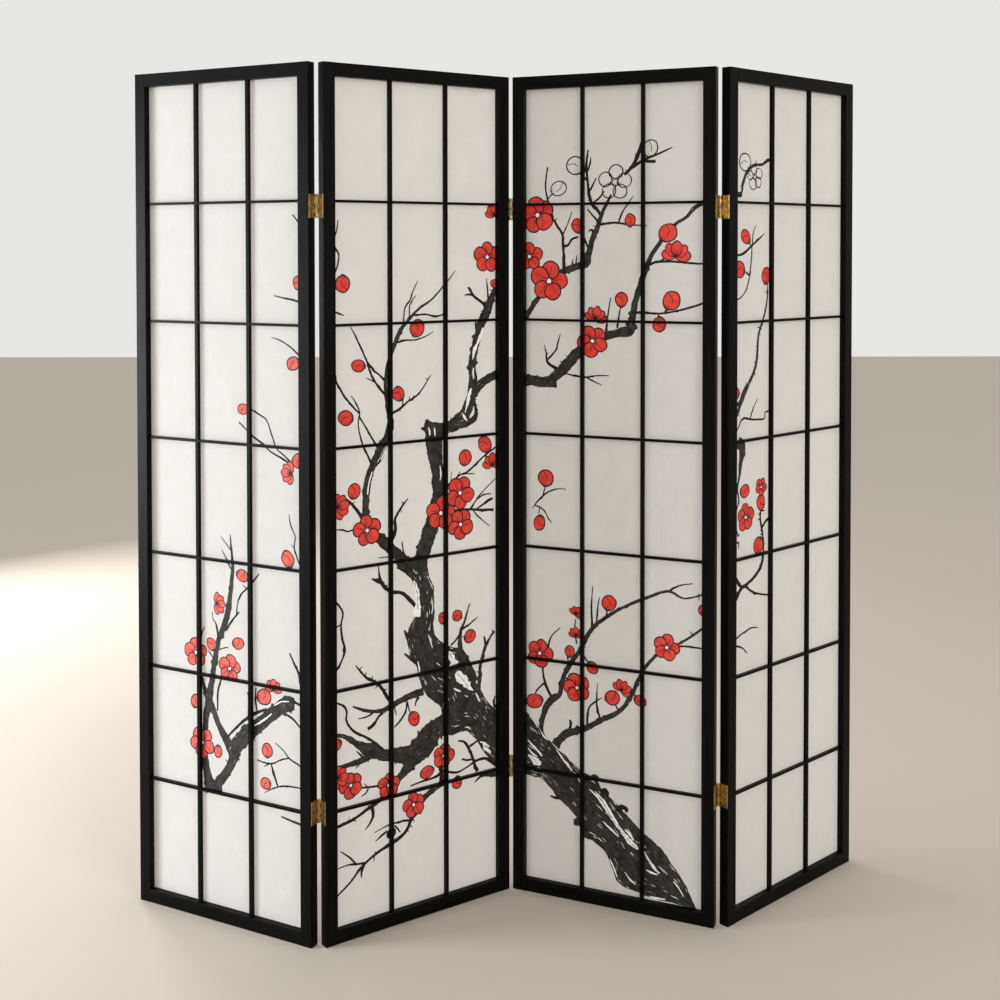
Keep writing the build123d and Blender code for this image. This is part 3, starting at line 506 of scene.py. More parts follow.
# Colours, as linear red, green and blue.
PAPER_COLOUR = (0.81, 0.797, 0.778, 1)
PAPER_CLOUD = (0.785, 0.769, 0.746, 1)
PAPER_FIBRE = (0.90, 0.88, 0.85, 1)
INK_COLOUR = (0.011, 0.0100, 0.0088, 1)
INK_WASH = (0.050, 0.046, 0.039, 1)
RED_COLOUR = (0.78, 0.062, 0.042, 1)
RED_DEEP = (0.58, 0.030, 0.024, 1)
# Panel 1's reds are paler: painted sunlight, as sun shining through its paper would make them.
SUNLIT_RED = (0.74, 0.125, 0.10, 1)
SUNLIT_DEEP = (0.60, 0.070, 0.055, 1)
REDS = {
    1: (SUNLIT_RED, SUNLIT_DEEP),
    2: (RED_COLOUR, RED_DEEP),
    3: (RED_COLOUR, RED_DEEP),
    4: (RED_COLOUR, RED_DEEP),
}
LINE_COLOUR = (0.006, 0.0045, 0.004, 1)
LINE_WASH = (0.018, 0.013, 0.011, 1)
BARE_WHITE = (0.94, 0.93, 0.91, 1)

# Painted shade: the tints of the paper's back where the print's shadow shows through, as light passing the
# paper would cast it.
BRUSH_SHADOW = (0.74, 0.715, 0.68, 1)
BRUSH_SHADOW_CLOUD = (0.80, 0.775, 0.74, 1)
LINE_SHADOW = (0.78, 0.755, 0.72, 1)
RED_SHADOW = (0.86, 0.60, 0.54, 1)
RED_SHADOW_CLOUD = (0.86, 0.65, 0.59, 1)

# Paint, metal, dowels and room.
BLACK_PAINT = (0.0017, 0.0016, 0.0013, 1)
BLACK_GRAIN = (0.0048, 0.0044, 0.0037, 1)
RUBBED_EDGE = (0.028, 0.024, 0.019, 1)
BRASS = (0.62, 0.45, 0.175, 1)
BRASS_STAIN = (0.22, 0.150, 0.052, 1)
BRASS_EDGE = (0.78, 0.56, 0.25, 1)
STEEL_DARK = (0.40, 0.39, 0.37, 1)
STEEL_PALE = (0.58, 0.57, 0.55, 1)
BEECH_DARK = (0.42, 0.27, 0.15, 1)
BEECH_PALE = (0.60, 0.42, 0.25, 1)
FLOOR_COLOUR = (0.52, 0.462, 0.40, 1)
ROOM_COLOUR = (0.86, 0.845, 0.82, 1)
ROOM_STRENGTH = 0.94

# The share of light that the paper lets through, and how strongly each finish shines.
PAPER_GLOW = 0.58
PAINT_SHINE = 0.06
DULL_SHINE = 0.25
FLOOR_SHINE = 0.2

# Soft lamps: name, place, the point it faces, width, height, power and colour.
LAMPS = (
    ("window_light", (-3.8, -0.55, 1.0), (-0.6, -0.1, 0.75), 1.2, 1.4, 150, (0.87, 0.935, 1.0)),
    ("front_fill", (2.4, -4.0, 2.6), (0.0, 0.0, 0.9), 2.5, 2.5, 70, (1.0, 0.98, 0.955)),
    ("garden_light", (-2.4, 2.8, 1.3), (0.15, 0.1, 0.5), 1.2, 1.0, 64, (1.0, 0.995, 0.98)),
)

# The camera stands in front, above the screen's middle, and dips by a small angle in degrees.
LENS = 48.99
SENSOR_WIDTH = 36.0
LENS_SHIFT = -0.2178
SIGHT_END = 60
CAMERA_PLACE = (-0.0109, -2.9159, 1.4085)
CAMERA_DIP = 1.358
CAMERA_ROLL = 0.05

# The floor, in metres.
FLOOR_SIZE = 30
FLOOR_DROP = 0.0004


# ---------------------------------------------------------------- places

def panel_place(number):
    """The matrix that carries a point of a panel's own frame, in metres, to the row frame."""
    low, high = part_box(f"panel_{number}_paper")
    middle = (low + high) / 2
    turn = Matrix.Rotation(math.radians(PANEL_TURNS[number]), 4, "Z")
    own_middle = Vector(PAPER_MIDDLE) * MM
    return Matrix.Translation(middle) @ turn @ Matrix.Translation(-own_middle)


def share_of_span(value, edges):
    """How far a value is through the span of edges that holds it, from 0 to 1."""
    for low, high in zip(edges, edges[1:]):
        if low <= value <= high:
            return (value - low) / (high - low)
    return 0.0


def paper_depth(across, up):
    """How far back the paper's front lies: it is held at the bars and slack between them."""
    side = math.sin(math.pi * share_of_span(across, CELL_SIDES))
    level = math.sin(math.pi * share_of_span(up, CELL_LEVELS))
    ripple = 1 + 0.25 * noise.noise(Vector((across / 60, up / 140, 0.5)))
    return PAPER_FRONT + PAPER_SAG * side * math.sqrt(max(level, 0.0)) * ripple


# ---------------------------------------------------------------- making pieces

def deselect_all():
    """Lets go of every object, so that an operator acts on the next one only."""
    bpy.ops.object.select_all(action="DESELECT")


def add_mesh_piece(name, points, faces, body):
    """A piece from points in the row frame, which rides on a body."""
    mesh = bpy.data.meshes.new(name)
    mesh.from_pydata(points, [], faces)
    mesh.update()
    piece = bpy.data.objects.new(name, mesh)
    bpy.context.scene.collection.objects.link(piece)
    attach(piece, body)
    return piece


def paper_sheet(number, finish):
    """The paper of one panel: a thin sheet that sags a little between the bars."""
    deselect_all()
    bpy.ops.mesh.primitive_grid_add(
        x_subdivisions=PAPER_COLUMNS, y_subdivisions=PAPER_ROWS, size=1, rotation=(math.pi / 2, 0, 0)
    )
    sheet = bpy.context.object
    sheet.name = f"panel_{number}_printed_paper"
    bpy.ops.object.transform_apply(location=True, rotation=True, scale=True)
    place = panel_place(number)
    for vertex in sheet.data.vertices:
        across = PAPER_MIDDLE[0] + vertex.co.x * PAPER_WIDTH
        up = PAPER_MIDDLE[2] + vertex.co.z * PAPER_HEIGHT
        vertex.co = place @ (Vector((across, paper_depth(across, up), up)) * MM)
    wall = sheet.modifiers.new("thickness", "SOLIDIFY")
    wall.thickness = PAPER_THICKNESS * MM
    wall.offset = -1
    bpy.ops.object.modifier_apply(modifier=wall.name)
    bpy.ops.object.shade_smooth_by_angle(angle=math.radians(30))
    sheet.data.materials.append(finish)
    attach(sheet, f"panel_{number}")
    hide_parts(f"panel_{number}_paper")
    return sheet


# ---------------------------------------------------------------- drawing

class Drawing:
    """Flat shapes of one panel's print, gathered as points and faces with an ink for each face."""

    def __init__(self):
        self.points = []
        self.lifts = []
        self.maps = []
        self.faces = []
        self.inks = []

    def add_point(self, across, up, lift, along=0.0, beside=0.0):
        across = min(max(across, PRINT_LEFT), PRINT_RIGHT)
        self.points.append((across, max(up, PRINT_BOTTOM)))
        self.lifts.append(lift)
        self.maps.append((along, beside))
        return len(self.points) - 1

    def add_face(self, corners, ink):
        self.faces.append(tuple(corners))
        self.inks.append(ink)

    def add_rows(self, rows, ink):
        """Joins rows of points that have the same count into a strip of quads."""
        for first, second in zip(rows, rows[1:]):
            for k in range(len(first) - 1):
                self.add_face((first[k], first[k + 1], second[k + 1], second[k]), ink)

    def add_fan(self, middle, ring, ink):
        for k in range(len(ring)):
            self.add_face((middle, ring[k], ring[(k + 1) % len(ring)]), ink)


def smooth_line(points, step):
    """Points about a step apart on a smooth curve through the given ones."""
    ends = [points[0]] + list(points) + [points[-1]]
    line = []
    for before, start, finish, after in zip(ends, ends[1:], ends[2:], ends[3:]):
        count = max(1, round(math.dist(start[:2], finish[:2]) / step))
        for k in range(count):
            t = k / count
            line.append(tuple(
                0.5 * (2 * b + (c - a) * t + (2 * a - 5 * b + 4 * c - d) * t**2
                       + (3 * b - a - 3 * c + d) * t**3)
                for a, b, c, d in zip(before, start, finish, after)
            ))
    line.append(tuple(points[-1]))
    return line


def line_sides(line):
    """The left-hand direction at each point of a line, as (across, up)."""
    sides = []
    for k in range(len(line)):
        before = line[max(k - 1, 0)]
        after = line[min(k + 1, len(line) - 1)]
        run = math.dist(before[:2], after[:2]) or 1.0
        sides.append(((before[1] - after[1]) / run, (after[0] - before[0]) / run))
    return sides


def ragged(length, seed, size):
    """An uneven brush edge: slow swells and quick nicks along a stroke."""
    slow = noise.noise(Vector((length / 19, seed * 7.3, 0.2)))
    quick = noise.noise(Vector((length / 4.3, seed * 3.1, 4.7)))
    return size * (0.7 * slow + 0.55 * quick)


def knot(length, seed, half):
    """A swelling here and there on a branch, where a twig once grew."""
    rise = noise.noise(Vector((length / 13, seed * 4.9, 8.1))) - 0.28
    return 1.7 * half * max(rise, 0.0)


def draw_limb(drawing, points, seed):
    """A brush stroke that swells and thins along its points."""
    widest = max(p[2] for p in points)
    broad = widest >= BRUSH_WIDTH
    line = smooth_line(points, BRUSH_STEP if broad else LINE_STEP)
    columns = max(1, round(widest / COLUMN_WIDTH))
    lift = INK_LIFT + LIMB_STEP * (seed % 5)
    rows = []
    length = 0.0
    for k, (spot, side) in enumerate(zip(line, line_sides(line))):
        if k:
            length += math.dist(spot[:2], line[k - 1][:2])
        half = max(INK_SPREAD * spot[2], THINNEST_LINE) / 2
        size = 0.45 + 0.24 * half
        left = half + ragged(length, seed, size) + knot(length, seed, half)
        right = half + ragged(length, seed + 0.5, size) + knot(length, seed + 0.5, half)
        row = []
        for c in range(columns + 1):
            out = left - (left + right) * c / columns
            row.append(drawing.add_point(
                spot[0] + side[0] * out, spot[1] + side[1] * out, lift, length * MM, out * MM + seed
            ))
        rows.append(row)
    drawing.add_rows([row[::-1] for row in rows], "brush" if broad else "line")
    if SPUR_WIDTHS[0] <= widest <= SPUR_WIDTHS[1]:
        draw_spurs(drawing, line, lift, seed)


def draw_spurs(drawing, line, lift, seed):
    """Short pointed spurs that stand out from a branch here and there."""
    shuffle = random.Random(seed)
    for spot, side in zip(line, line_sides(line)):
        if shuffle.random() > SPUR_CHANCE:
            continue
        lean = math.atan2(side[1], side[0]) + shuffle.choice((0, math.pi)) + shuffle.uniform(-0.7, 0.7)
        root = polar(spot, 0.3 * spot[2], lean)
        tip = polar(spot, 0.55 * spot[2] + shuffle.uniform(3, 8), lean)
        draw_hair(drawing, root, tip, shuffle.uniform(2.2, 3.6), lift, "line")


def draw_trunk(drawing, left_edge, right_edge, seed, shuffle):
    """A broad trunk between two edges, with slivers of bare paper along the grain."""
    left = smooth_line(left_edge, TRUNK_STEP)
    right = smooth_line(right_edge, TRUNK_STEP)
    count = max(len(left), len(right))
    rows = []
    for k in range(count + 1):
        a = left[round(k / count * (len(left) - 1))]
        b = right[round(k / count * (len(right) - 1))]
        swell = Vector(b) - Vector(a)
        width = swell.length or 1.0
        swell /= width
        low = ragged(k * TRUNK_STEP, seed, TRUNK_RAGGED)
        high = width + ragged(k * TRUNK_STEP, seed + 0.5, TRUNK_RAGGED)
        row = []
        for c in range(TRUNK_COLUMNS + 1):
            out = low + (high - low) * c / TRUNK_COLUMNS
            row.append(drawing.add_point(
                a[0] + swell.x * out, a[1] + swell.y * out, INK_LIFT, k * TRUNK_STEP * MM, out * MM + seed
            ))
        rows.append(row)
    drawing.add_rows(rows, "brush")
    for _ in range(round(SLIVERS_A_STEP * count)):
        draw_sliver(drawing, rows, shuffle)


def draw_gap(drawing, points, seed):
    """A long uneven gap in a trunk, where bare paper shows."""
    line = smooth_line(points, GAP_STEP)
    rows = []
    for k, (spot, side) in enumerate(zip(line, line_sides(line))):
        half = spot[2] / 2
        left = max(half + ragged(k * GAP_STEP, seed, 0.9 * half), THINNEST_GAP)
        right = max(half + ragged(k * GAP_STEP, seed + 0.5, 0.9 * half), THINNEST_GAP)
        near = drawing.add_point(spot[0] - side[0] * right, spot[1] - side[1] * right, FLECK_LIFT)
        far = drawing.add_point(spot[0] + side[0] * left, spot[1] + side[1] * left, FLECK_LIFT)
        rows.append([near, far])
    drawing.add_rows(rows, "bare")
    if max(p[2] for p in points) > GAP_WITH_GRAIN:
        for k in range(2, len(line) - 5, 5):
            start = (line[k][0] + ragged(k, seed, 3), line[k][1])
            finish = (line[k + 4][0] + ragged(k + 4, seed, 3), line[k + 4][1])
            draw_hair(drawing, start, finish, 1.5, FLECK_LIFT + 0.02, "line")


def draw_sliver(drawing, rows, shuffle):
    """A thin gap in the brush stroke that shows bare paper, along the grain."""
    start = shuffle.randrange(2, max(3, len(rows) - 12))
    reach = shuffle.randrange(2, 7)
    edge = abs(shuffle.gauss(0, 0.24))
    column = edge if shuffle.random() < 0.5 else 1 - edge
    column = min(max(column, 0.02), 0.98) * (len(rows[0]) - 1)
    thick = shuffle.uniform(0.3, 1.1)
    upper = []
    lower = []
    for k in range(start, min(start + reach, len(rows))):
        share = (k - start) / max(reach - 1, 1)
        near = int(min(column, len(rows[0]) - 2))
        a = Vector(drawing.points[rows[k][near]])
        b = Vector(drawing.points[rows[k][near + 1]])
        spot = a.lerp(b, column - near)
        half = thick * math.sin(math.pi * (0.08 + 0.84 * share)) * shuffle.uniform(0.5, 1.2)
        out = (b - a).normalized() * half
        upper.append(drawing.add_point(spot.x + out.x, spot.y + out.y, FLECK_LIFT))
        lower.append(drawing.add_point(spot.x - out.x, spot.y - out.y, FLECK_LIFT))
    drawing.add_rows([list(pair) for pair in zip(lower, upper)], "bare")


def draw_blob(drawing, middle, size, turn, lift, fill, seed, flat=1.0):
    """A rounded petal or bud: a filled shape with an uneven outline round it."""
    inner = []
    outer = []
    for k in range(PETAL_SIDES):
        angle = 2 * math.pi * k / PETAL_SIDES
        east = math.cos(angle)
        north = math.sin(angle)
        wobble = 1 + 0.09 * noise.noise(Vector((1.3 * east, 1.3 * north, seed * 5.7)))
        line = min(WIDEST_OUTLINE, 1.3 + 0.1 * size) + noise.noise(Vector((east, north, seed * 2.3 + 9)))
        x = east * size * wobble
        y = north * size * wobble * flat
        far = 1 + line / (size * wobble)
        for ring, grow in ((inner, 1), (outer, far)):
            px = middle[0] + grow * (x * math.cos(turn) - y * math.sin(turn))
            py = middle[1] + grow * (x * math.sin(turn) + y * math.cos(turn))
            ring.append(drawing.add_point(px, py, lift, px * MM, py * MM))
    if fill:
        hub = drawing.add_point(middle[0], middle[1], lift, middle[0] * MM, middle[1] * MM)
        drawing.add_fan(hub, inner, fill)
    for k in range(PETAL_SIDES):
        m = (k + 1) % PETAL_SIDES
        drawing.add_face((inner[k], outer[k], outer[m], inner[m]), "line")


def draw_hair(drawing, start, finish, width, lift, ink):
    """A short straight line, such as a stamen or a fold in a petal."""
    run = Vector(finish) - Vector(start)
    side = Vector((-run.y, run.x)).normalized() * width / 2
    corners = [
        drawing.add_point(start[0] - side.x, start[1] - side.y, lift),
        drawing.add_point(finish[0] - side.x * 0.45, finish[1] - side.y * 0.45, lift),
        drawing.add_point(finish[0] + side.x * 0.45, finish[1] + side.y * 0.45, lift),
        drawing.add_point(start[0] + side.x, start[1] + side.y, lift),
    ]
    drawing.add_face(corners, ink)


def polar(middle, distance, angle):
    """The point at a distance and an angle from a middle."""
    return (middle[0] + distance * math.cos(angle), middle[1] + distance * math.sin(angle))


def draw_open_flower(drawing, middle, size, turn, fill, seed, shuffle):
    """Five round petals about a pale heart with stamens."""
    for k in range(PETALS):
        angle = turn + 2 * math.pi * k / PETALS
        lift = PETAL_LIFT + PETAL_STEP * k
        spot = polar(middle, (0.57 if fill else 0.62) * size, angle + shuffle.uniform(-0.1, 0.1))
        petal = (0.42 if fill else 0.37) * size * shuffle.uniform(0.9, 1.1)
        draw_blob(drawing, spot, petal, angle, lift, fill, seed + k * 0.37, shuffle.uniform(0.94, 1.1))
        if fill:
            crease = polar(middle, 0.8 * size, angle + shuffle.uniform(-0.25, 0.25))
            root = polar(middle, 0.3 * size, angle)
            draw_hair(drawing, root, crease, CREASE_LINE, lift + CREASE_LIFT, "line")
    top = PETAL_LIFT + PETAL_STEP * PETALS
    for k in range(STAMENS):
        angle = turn + 2 * math.pi * (k + 0.5) / STAMENS + shuffle.uniform(-0.12, 0.12)
        reach = size * shuffle.uniform(0.26, 0.42)
        root = polar(middle, 0.12 * size, angle)
        draw_hair(drawing, root, polar(middle, reach, angle), STAMEN_LINE, top, "line")
    if fill:
        draw_blob(drawing, middle, 0.12 * size, 0, top + HEART_LIFT, "bare", seed)


def draw_side_flower(drawing, middle, size, turn, fill, seed, shuffle):
    """A half-open flower seen from its side: a fan of five petals."""
    for k, swing in enumerate((1.5, -1.5, 0.78, -0.78, 0.0)):
        spot = polar(middle, 0.5 * size, turn + swing)
        petal = 0.5 * size * shuffle.uniform(0.92, 1.08)
        draw_blob(drawing, spot, petal, turn + swing, PETAL_LIFT + PETAL_STEP * k, fill, seed + k * 0.61, 0.7)
    top = PETAL_LIFT + PETAL_STEP * PETALS
    root = polar(middle, -0.1 * size, turn)
    for swing in (-0.7, -0.3, 0.05, 0.4, 0.8):
        reach = 0.5 * size * shuffle.uniform(0.7, 1.1)
        draw_hair(drawing, root, polar(middle, reach, turn + swing), FAN_LINE, top, "line")


def draw_bud(drawing, middle, size, turn, fill, seed, shuffle):
    """A round bud, its petals' overlap and the cup that holds it. turn points to the stalk."""
    draw_blob(drawing, middle, 0.9 * size, turn, PETAL_LIFT, fill, seed, shuffle.uniform(0.78, 0.98))
    top = PETAL_LIFT + PETAL_STEP * 2
    for swing, reach in ((-0.5, 0.95), (0.0, 0.7), (0.5, 0.95)):
        start = polar(middle, 1.12 * size, turn + 0.25 * swing)
        finish = polar(middle, reach * size * 0.72, turn + swing)
        draw_hair(drawing, start, finish, STAMEN_LINE if fill else 1.2, top, "line")
    bend = turn + math.pi + shuffle.uniform(-0.5, 0.5)
    fold = polar(middle, 0.25 * size, bend)
    draw_hair(drawing, polar(middle, 0.8 * size, bend + 0.9), fold, FOLD_LINE, top, "line")
    draw_hair(drawing, fold, polar(middle, 0.45 * size, turn + 0.6), FOLD_LINE, top, "line")


def draw_flower(drawing, flower, seed, shuffle):
    """One flower or bud of the print, by its kind."""
    across, up, size, degrees, kind = flower
    middle = (across, up)
    turn = math.radians(degrees)
    fill = "red"
    if kind == "dark":
        fill = "brush"
    if kind.endswith("line"):
        fill = None
    if kind.startswith("open"):
        draw_open_flower(drawing, middle, size, turn, fill, seed, shuffle)
    elif kind == "side":
        draw_side_flower(drawing, middle, size, turn, fill, seed, shuffle)
    else:
        draw_bud(drawing, middle, size, turn, fill, seed, shuffle)


def draw_print(number):
    """The whole print of one panel."""
    shuffle = random.Random(40 + number)
    drawing = Drawing()
    for k, (left_edge, right_edge) in enumerate(TRUNKS[number]):
        draw_trunk(drawing, left_edge, right_edge, 50 + k, shuffle)
    for k, points in enumerate(LIMBS[number]):
        draw_limb(drawing, points, k + 1)
    for k, points in enumerate(BARE_STREAKS[number]):
        draw_gap(drawing, points, k + 1)
    for k, flower in enumerate(FLOWERS[number]):
        draw_flower(drawing, flower, number * 10 + k * 1.7, shuffle)
    return drawing


def print_piece(number, drawing, inks, name, behind):
    """The print as a thin skin on the paper's front, or its painted shadow at the back, as light through the
    paper would cast it.
    """
    place = panel_place(number)
    points = []
    for (across, up), lift in zip(drawing.points, drawing.lifts):
        depth = paper_depth(across, up)
        # Behind, the skin is painted shade: the print's shadow through the paper.
        if behind:
            depth += PAPER_THICKNESS + BACK_LIFT + BACK_LIFT_SHARE * lift
        else:
            depth -= lift
        points.append(place @ (Vector((across, depth, up)) * MM))
    faces = [face[::-1] for face in drawing.faces] if behind else drawing.faces
    piece = add_mesh_piece(name, points, faces, f"panel_{number}")
    names = list(inks)
    for ink in names:
        piece.data.materials.append(inks[ink])
    for face, ink in zip(piece.data.polygons, drawing.inks):
        face.material_index = names.index(ink)
    grain = piece.data.uv_layers.new(name="grain")
    for loop in piece.data.loops:
        grain.data[loop.index].uv = drawing.maps[loop.vertex_index]
    return piece


# ---------------------------------------------------------------- finishes

def new_finish(name):
    """A material with one surface shader, its tree and the shader."""
    finish = bpy.data.materials.new(name)
    finish.use_nodes = True
    tree = finish.node_tree
    return finish, tree, tree.nodes["Principled BSDF"]


def feed(tree, socket, value):
    """Gives an input a fixed value, or links it to another node's output."""
    if isinstance(value, bpy.types.NodeSocket):
        tree.links.new(value, socket)
    else:
        socket.default_value = value


def add_node(tree, kind, inputs=None, **settings):
    """A node with its settings and its inputs, which are values or sockets."""
    node = tree.nodes.new(kind)
    for name, value in settings.items():
        setattr(node, name, value)
    for name, value in (inputs or {}).items():
        feed(tree, node.inputs[name], value)
    return node


def own_coordinates(tree, turn=0.0, stretch=(1, 1, 1)):
    """Object coordinates turned to a panel, and stretched along the grain."""
    source = add_node(tree, "ShaderNodeTexCoord")
    mapping = add_node(
        tree,
        "ShaderNodeMapping",
        {"Vector": source.outputs["Object"], "Rotation": (0, 0, math.radians(turn)), "Scale": stretch},
        vector_type="TEXTURE",
    )
    return mapping.outputs["Vector"]


def noise_value(tree, place, scale, detail=4.0, roughness=0.55, distortion=0.0):
    """A soft random pattern from 0 to 1."""
    pattern = add_node(
        tree,
        "ShaderNodeTexNoise",
        {"Vector": place, "Scale": scale, "Detail": detail, "Roughness": roughness, "Distortion": distortion},
    )
    return pattern.outputs["Fac"]


def ramp(tree, value, *stops):
    """A value spread over stops of (position, grey or colour)."""
    node = add_node(tree, "ShaderNodeValToRGB", {"Fac": value})
    elements = node.color_ramp.elements
    while len(elements) < len(stops):
        elements.new(0.5)
    for element, (position, shade) in zip(elements, stops):
        element.position = position
        element.color = shade if hasattr(shade, "__len__") else (shade, shade, shade, 1)
    return node.outputs["Color"]


def blend_colours(tree, share, first, second):
    """The first colour where the share is 0, and the second where it is 1."""
    node = add_node(tree, "ShaderNodeMix", data_type="RGBA")
    for place, value in ((0, share), (6, first), (7, second)):
        feed(tree, node.inputs[place], value)
    return node.outputs[2]


def spread(tree, value, low, high):
    """A value from 0 to 1 taken to a span from low to high."""
    node = add_node(tree, "ShaderNodeMapRange", {"Value": value, "To Min": low, "To Max": high})
    return node.outputs["Result"]


def combine(tree, operation, first, second):
    """Two values put together by an operation, such as ADD or MULTIPLY."""
    node = add_node(tree, "ShaderNodeMath", operation=operation)
    for socket, value in zip(node.inputs, (first, second)):
        feed(tree, socket, value)
    return node.outputs[0]


def raise_surface(tree, shader, height, distance, strength):
    """A fine relief, at most a distance high in metres."""
    bump = add_node(tree, "ShaderNodeBump", {"Height": height, "Distance": distance, "Strength": strength})
    tree.links.new(bump.outputs["Normal"], shader.inputs["Normal"])


def edge_share(tree, radius):
    """Near 1 on a sharp edge and 0 on a flat face."""
    rounded = add_node(tree, "ShaderNodeBevel", {"Radius": radius}, samples=4)
    shape = add_node(tree, "ShaderNodeNewGeometry")
    lined = add_node(tree, "ShaderNodeVectorMath", operation="DOT_PRODUCT")
    tree.links.new(rounded.outputs["Normal"], lined.inputs[0])
    tree.links.new(shape.outputs["Normal"], lined.inputs[1])
    return ramp(tree, lined.outputs["Value"], (0.72, 1.0), (0.985, 0.0))


def black_wood(name, turn, stretch, gloss=0.38):
    """Black satin paint that follows the wood's grain and is rubbed thin on the edges."""
    finish, tree, shader = new_finish(name)
    place = own_coordinates(tree, turn, stretch)
    grain = noise_value(tree, place, 520, 5, 0.62)
    streaks = noise_value(tree, place, 130, 3, 0.5)
    dust = noise_value(tree, own_coordinates(tree, turn), 9, 3, 0.6)
    tone = combine(tree, "MULTIPLY", grain, streaks)
    paint = blend_colours(tree, ramp(tree, tone, (0.16, 0.0), (0.42, 1.0)), BLACK_PAINT, BLACK_GRAIN)
    edges = edge_share(tree, 0.0012)
    patches = ramp(tree, noise_value(tree, own_coordinates(tree, turn), 60, 4, 0.6), (0.50, 0.0), (0.66, 1.0))
    rubbed = combine(tree, "MULTIPLY", edges, patches)
    rubbed = combine(tree, "MULTIPLY", rubbed, 0.55)
    colour = blend_colours(tree, rubbed, paint, RUBBED_EDGE)
    tree.links.new(colour, shader.inputs["Base Color"])
    paint_roughness = spread(tree, grain, gloss - 0.10, gloss + 0.10)
    dust_roughness = spread(tree, dust, -0.06, 0.06)
    tree.links.new(combine(tree, "ADD", paint_roughness, dust_roughness), shader.inputs["Roughness"])
    shader.inputs["Specular IOR Level"].default_value = PAINT_SHINE
    raise_surface(tree, shader, combine(tree, "ADD", grain, streaks), 0.00012, 0.7)
    return finish


def plain_wood(name, turn, stretch):
    """Pale turned beech, for the dowels."""
    finish, tree, shader = new_finish(name)
    grain = noise_value(tree, own_coordinates(tree, turn, stretch), 700, 4, 0.6)
    colour = ramp(tree, grain, (0.3, BEECH_DARK), (0.7, BEECH_PALE))
    tree.links.new(colour, shader.inputs["Base Color"])
    tree.links.new(spread(tree, grain, 0.5, 0.7), shader.inputs["Roughness"])
    raise_surface(tree, shader, grain, 0.0001, 0.5)
    return finish


def fibre_lines(tree, place, scale, width):
    """Long curled fibres: the thin contour lines of a soft pattern."""
    value = noise_value(tree, place, scale, 1.5, 0.45, 0.6)
    return ramp(tree, value, (0.5 - width, 0.0), (0.5, 1.0), (0.5 + width, 0.0))


def paper_finish(name, turn, base=PAPER_COLOUR, cloud=PAPER_CLOUD):
    """White paper with clouded pulp and loose fibres, which lets some light through."""
    finish, tree, shader = new_finish(name)
    place = own_coordinates(tree, turn)
    tall = own_coordinates(tree, turn, (1, 1, 2.4))
    clouds = noise_value(tree, place, 26, 5, 0.6)
    colour = blend_colours(tree, ramp(tree, clouds, (0.35, 0.0), (0.72, 1.0)), base, cloud)
    fibres = combine(tree, "MAXIMUM", fibre_lines(tree, tall, 34, 0.012), fibre_lines(tree, place, 57, 0.010))
    colour = blend_colours(tree, combine(tree, "MULTIPLY", fibres, 0.30), colour, PAPER_FIBRE)
    tree.links.new(colour, shader.inputs["Base Color"])
    tooth = noise_value(tree, place, 900, 3, 0.6)
    tree.links.new(spread(tree, tooth, 0.72, 0.88), shader.inputs["Roughness"])
    shader.inputs["Specular IOR Level"].default_value = DULL_SHINE
    raise_surface(tree, shader, combine(tree, "ADD", tooth, fibres), 0.00006, 0.5)
    glow = add_node(tree, "ShaderNodeBsdfTranslucent", {"Color": colour})
    mixed = add_node(tree, "ShaderNodeMixShader", {"Fac": PAPER_GLOW})
    tree.links.new(shader.outputs["BSDF"], mixed.inputs[1])
    tree.links.new(glow.outputs["BSDF"], mixed.inputs[2])
    tree.links.new(mixed.outputs["Shader"], tree.nodes["Material Output"].inputs["Surface"])
    return finish


def ink_finish(name, ink, wash, streaks=0.0):
    """Ink in washed patches, with dry streaks of bare paper along the stroke of a wide brush."""
    finish, tree, shader = new_finish(name)
    source = add_node(tree, "ShaderNodeUVMap", uv_map="grain")
    stroke = {"Vector": source.outputs["UV"], "Scale": (1, 9, 1)}
    mapping = add_node(tree, "ShaderNodeMapping", stroke, vector_type="POINT")
    along = noise_value(tree, mapping.outputs["Vector"], 42, 4, 0.65)
    patches = noise_value(tree, own_coordinates(tree), 75, 5, 0.65)
    colour = blend_colours(tree, ramp(tree, patches, (0.38, 0.0), (0.7, 1.0)), ink, wash)
    if streaks:
        dry = ramp(tree, along, (0.66, 0.0), (0.70, 1.0))
        colour = blend_colours(tree, combine(tree, "MULTIPLY", dry, streaks), colour, PAPER_COLOUR)
    tree.links.new(colour, shader.inputs["Base Color"])
    tree.links.new(spread(tree, along, 0.55, 0.8), shader.inputs["Roughness"])
    shader.inputs["Specular IOR Level"].default_value = DULL_SHINE
    raise_surface(tree, shader, along, 0.00004, 0.4)
    return finish


def print_inks(number, faint):
    """The inks of one panel's print, or their painted shadows at the back of the paper."""
    turn = PANEL_TURNS[number]
    # The faint tints are painted shade: the print's shadow, in paper finishes tinted darker.
    if faint:
        return {
            "brush": paper_finish(f"ink_shadow_{number}", turn, BRUSH_SHADOW, BRUSH_SHADOW_CLOUD),
            "line": paper_finish(f"line_shadow_{number}", turn, LINE_SHADOW, LINE_SHADOW),
            "red": paper_finish(f"red_shadow_{number}", turn, RED_SHADOW, RED_SHADOW_CLOUD),
            "bare": paper_finish(f"bare_paper_back_{number}", turn),
        }
    return {
        "brush": ink_finish(f"brush_ink_{number}", INK_COLOUR, INK_WASH, 0.8),
        "line": ink_finish(f"line_ink_{number}", LINE_COLOUR, LINE_WASH),
        "red": ink_finish(f"red_ink_{number}", *REDS[number]),
        "bare": ink_finish(f"bare_paper_{number}", BARE_WHITE, PAPER_COLOUR),
    }


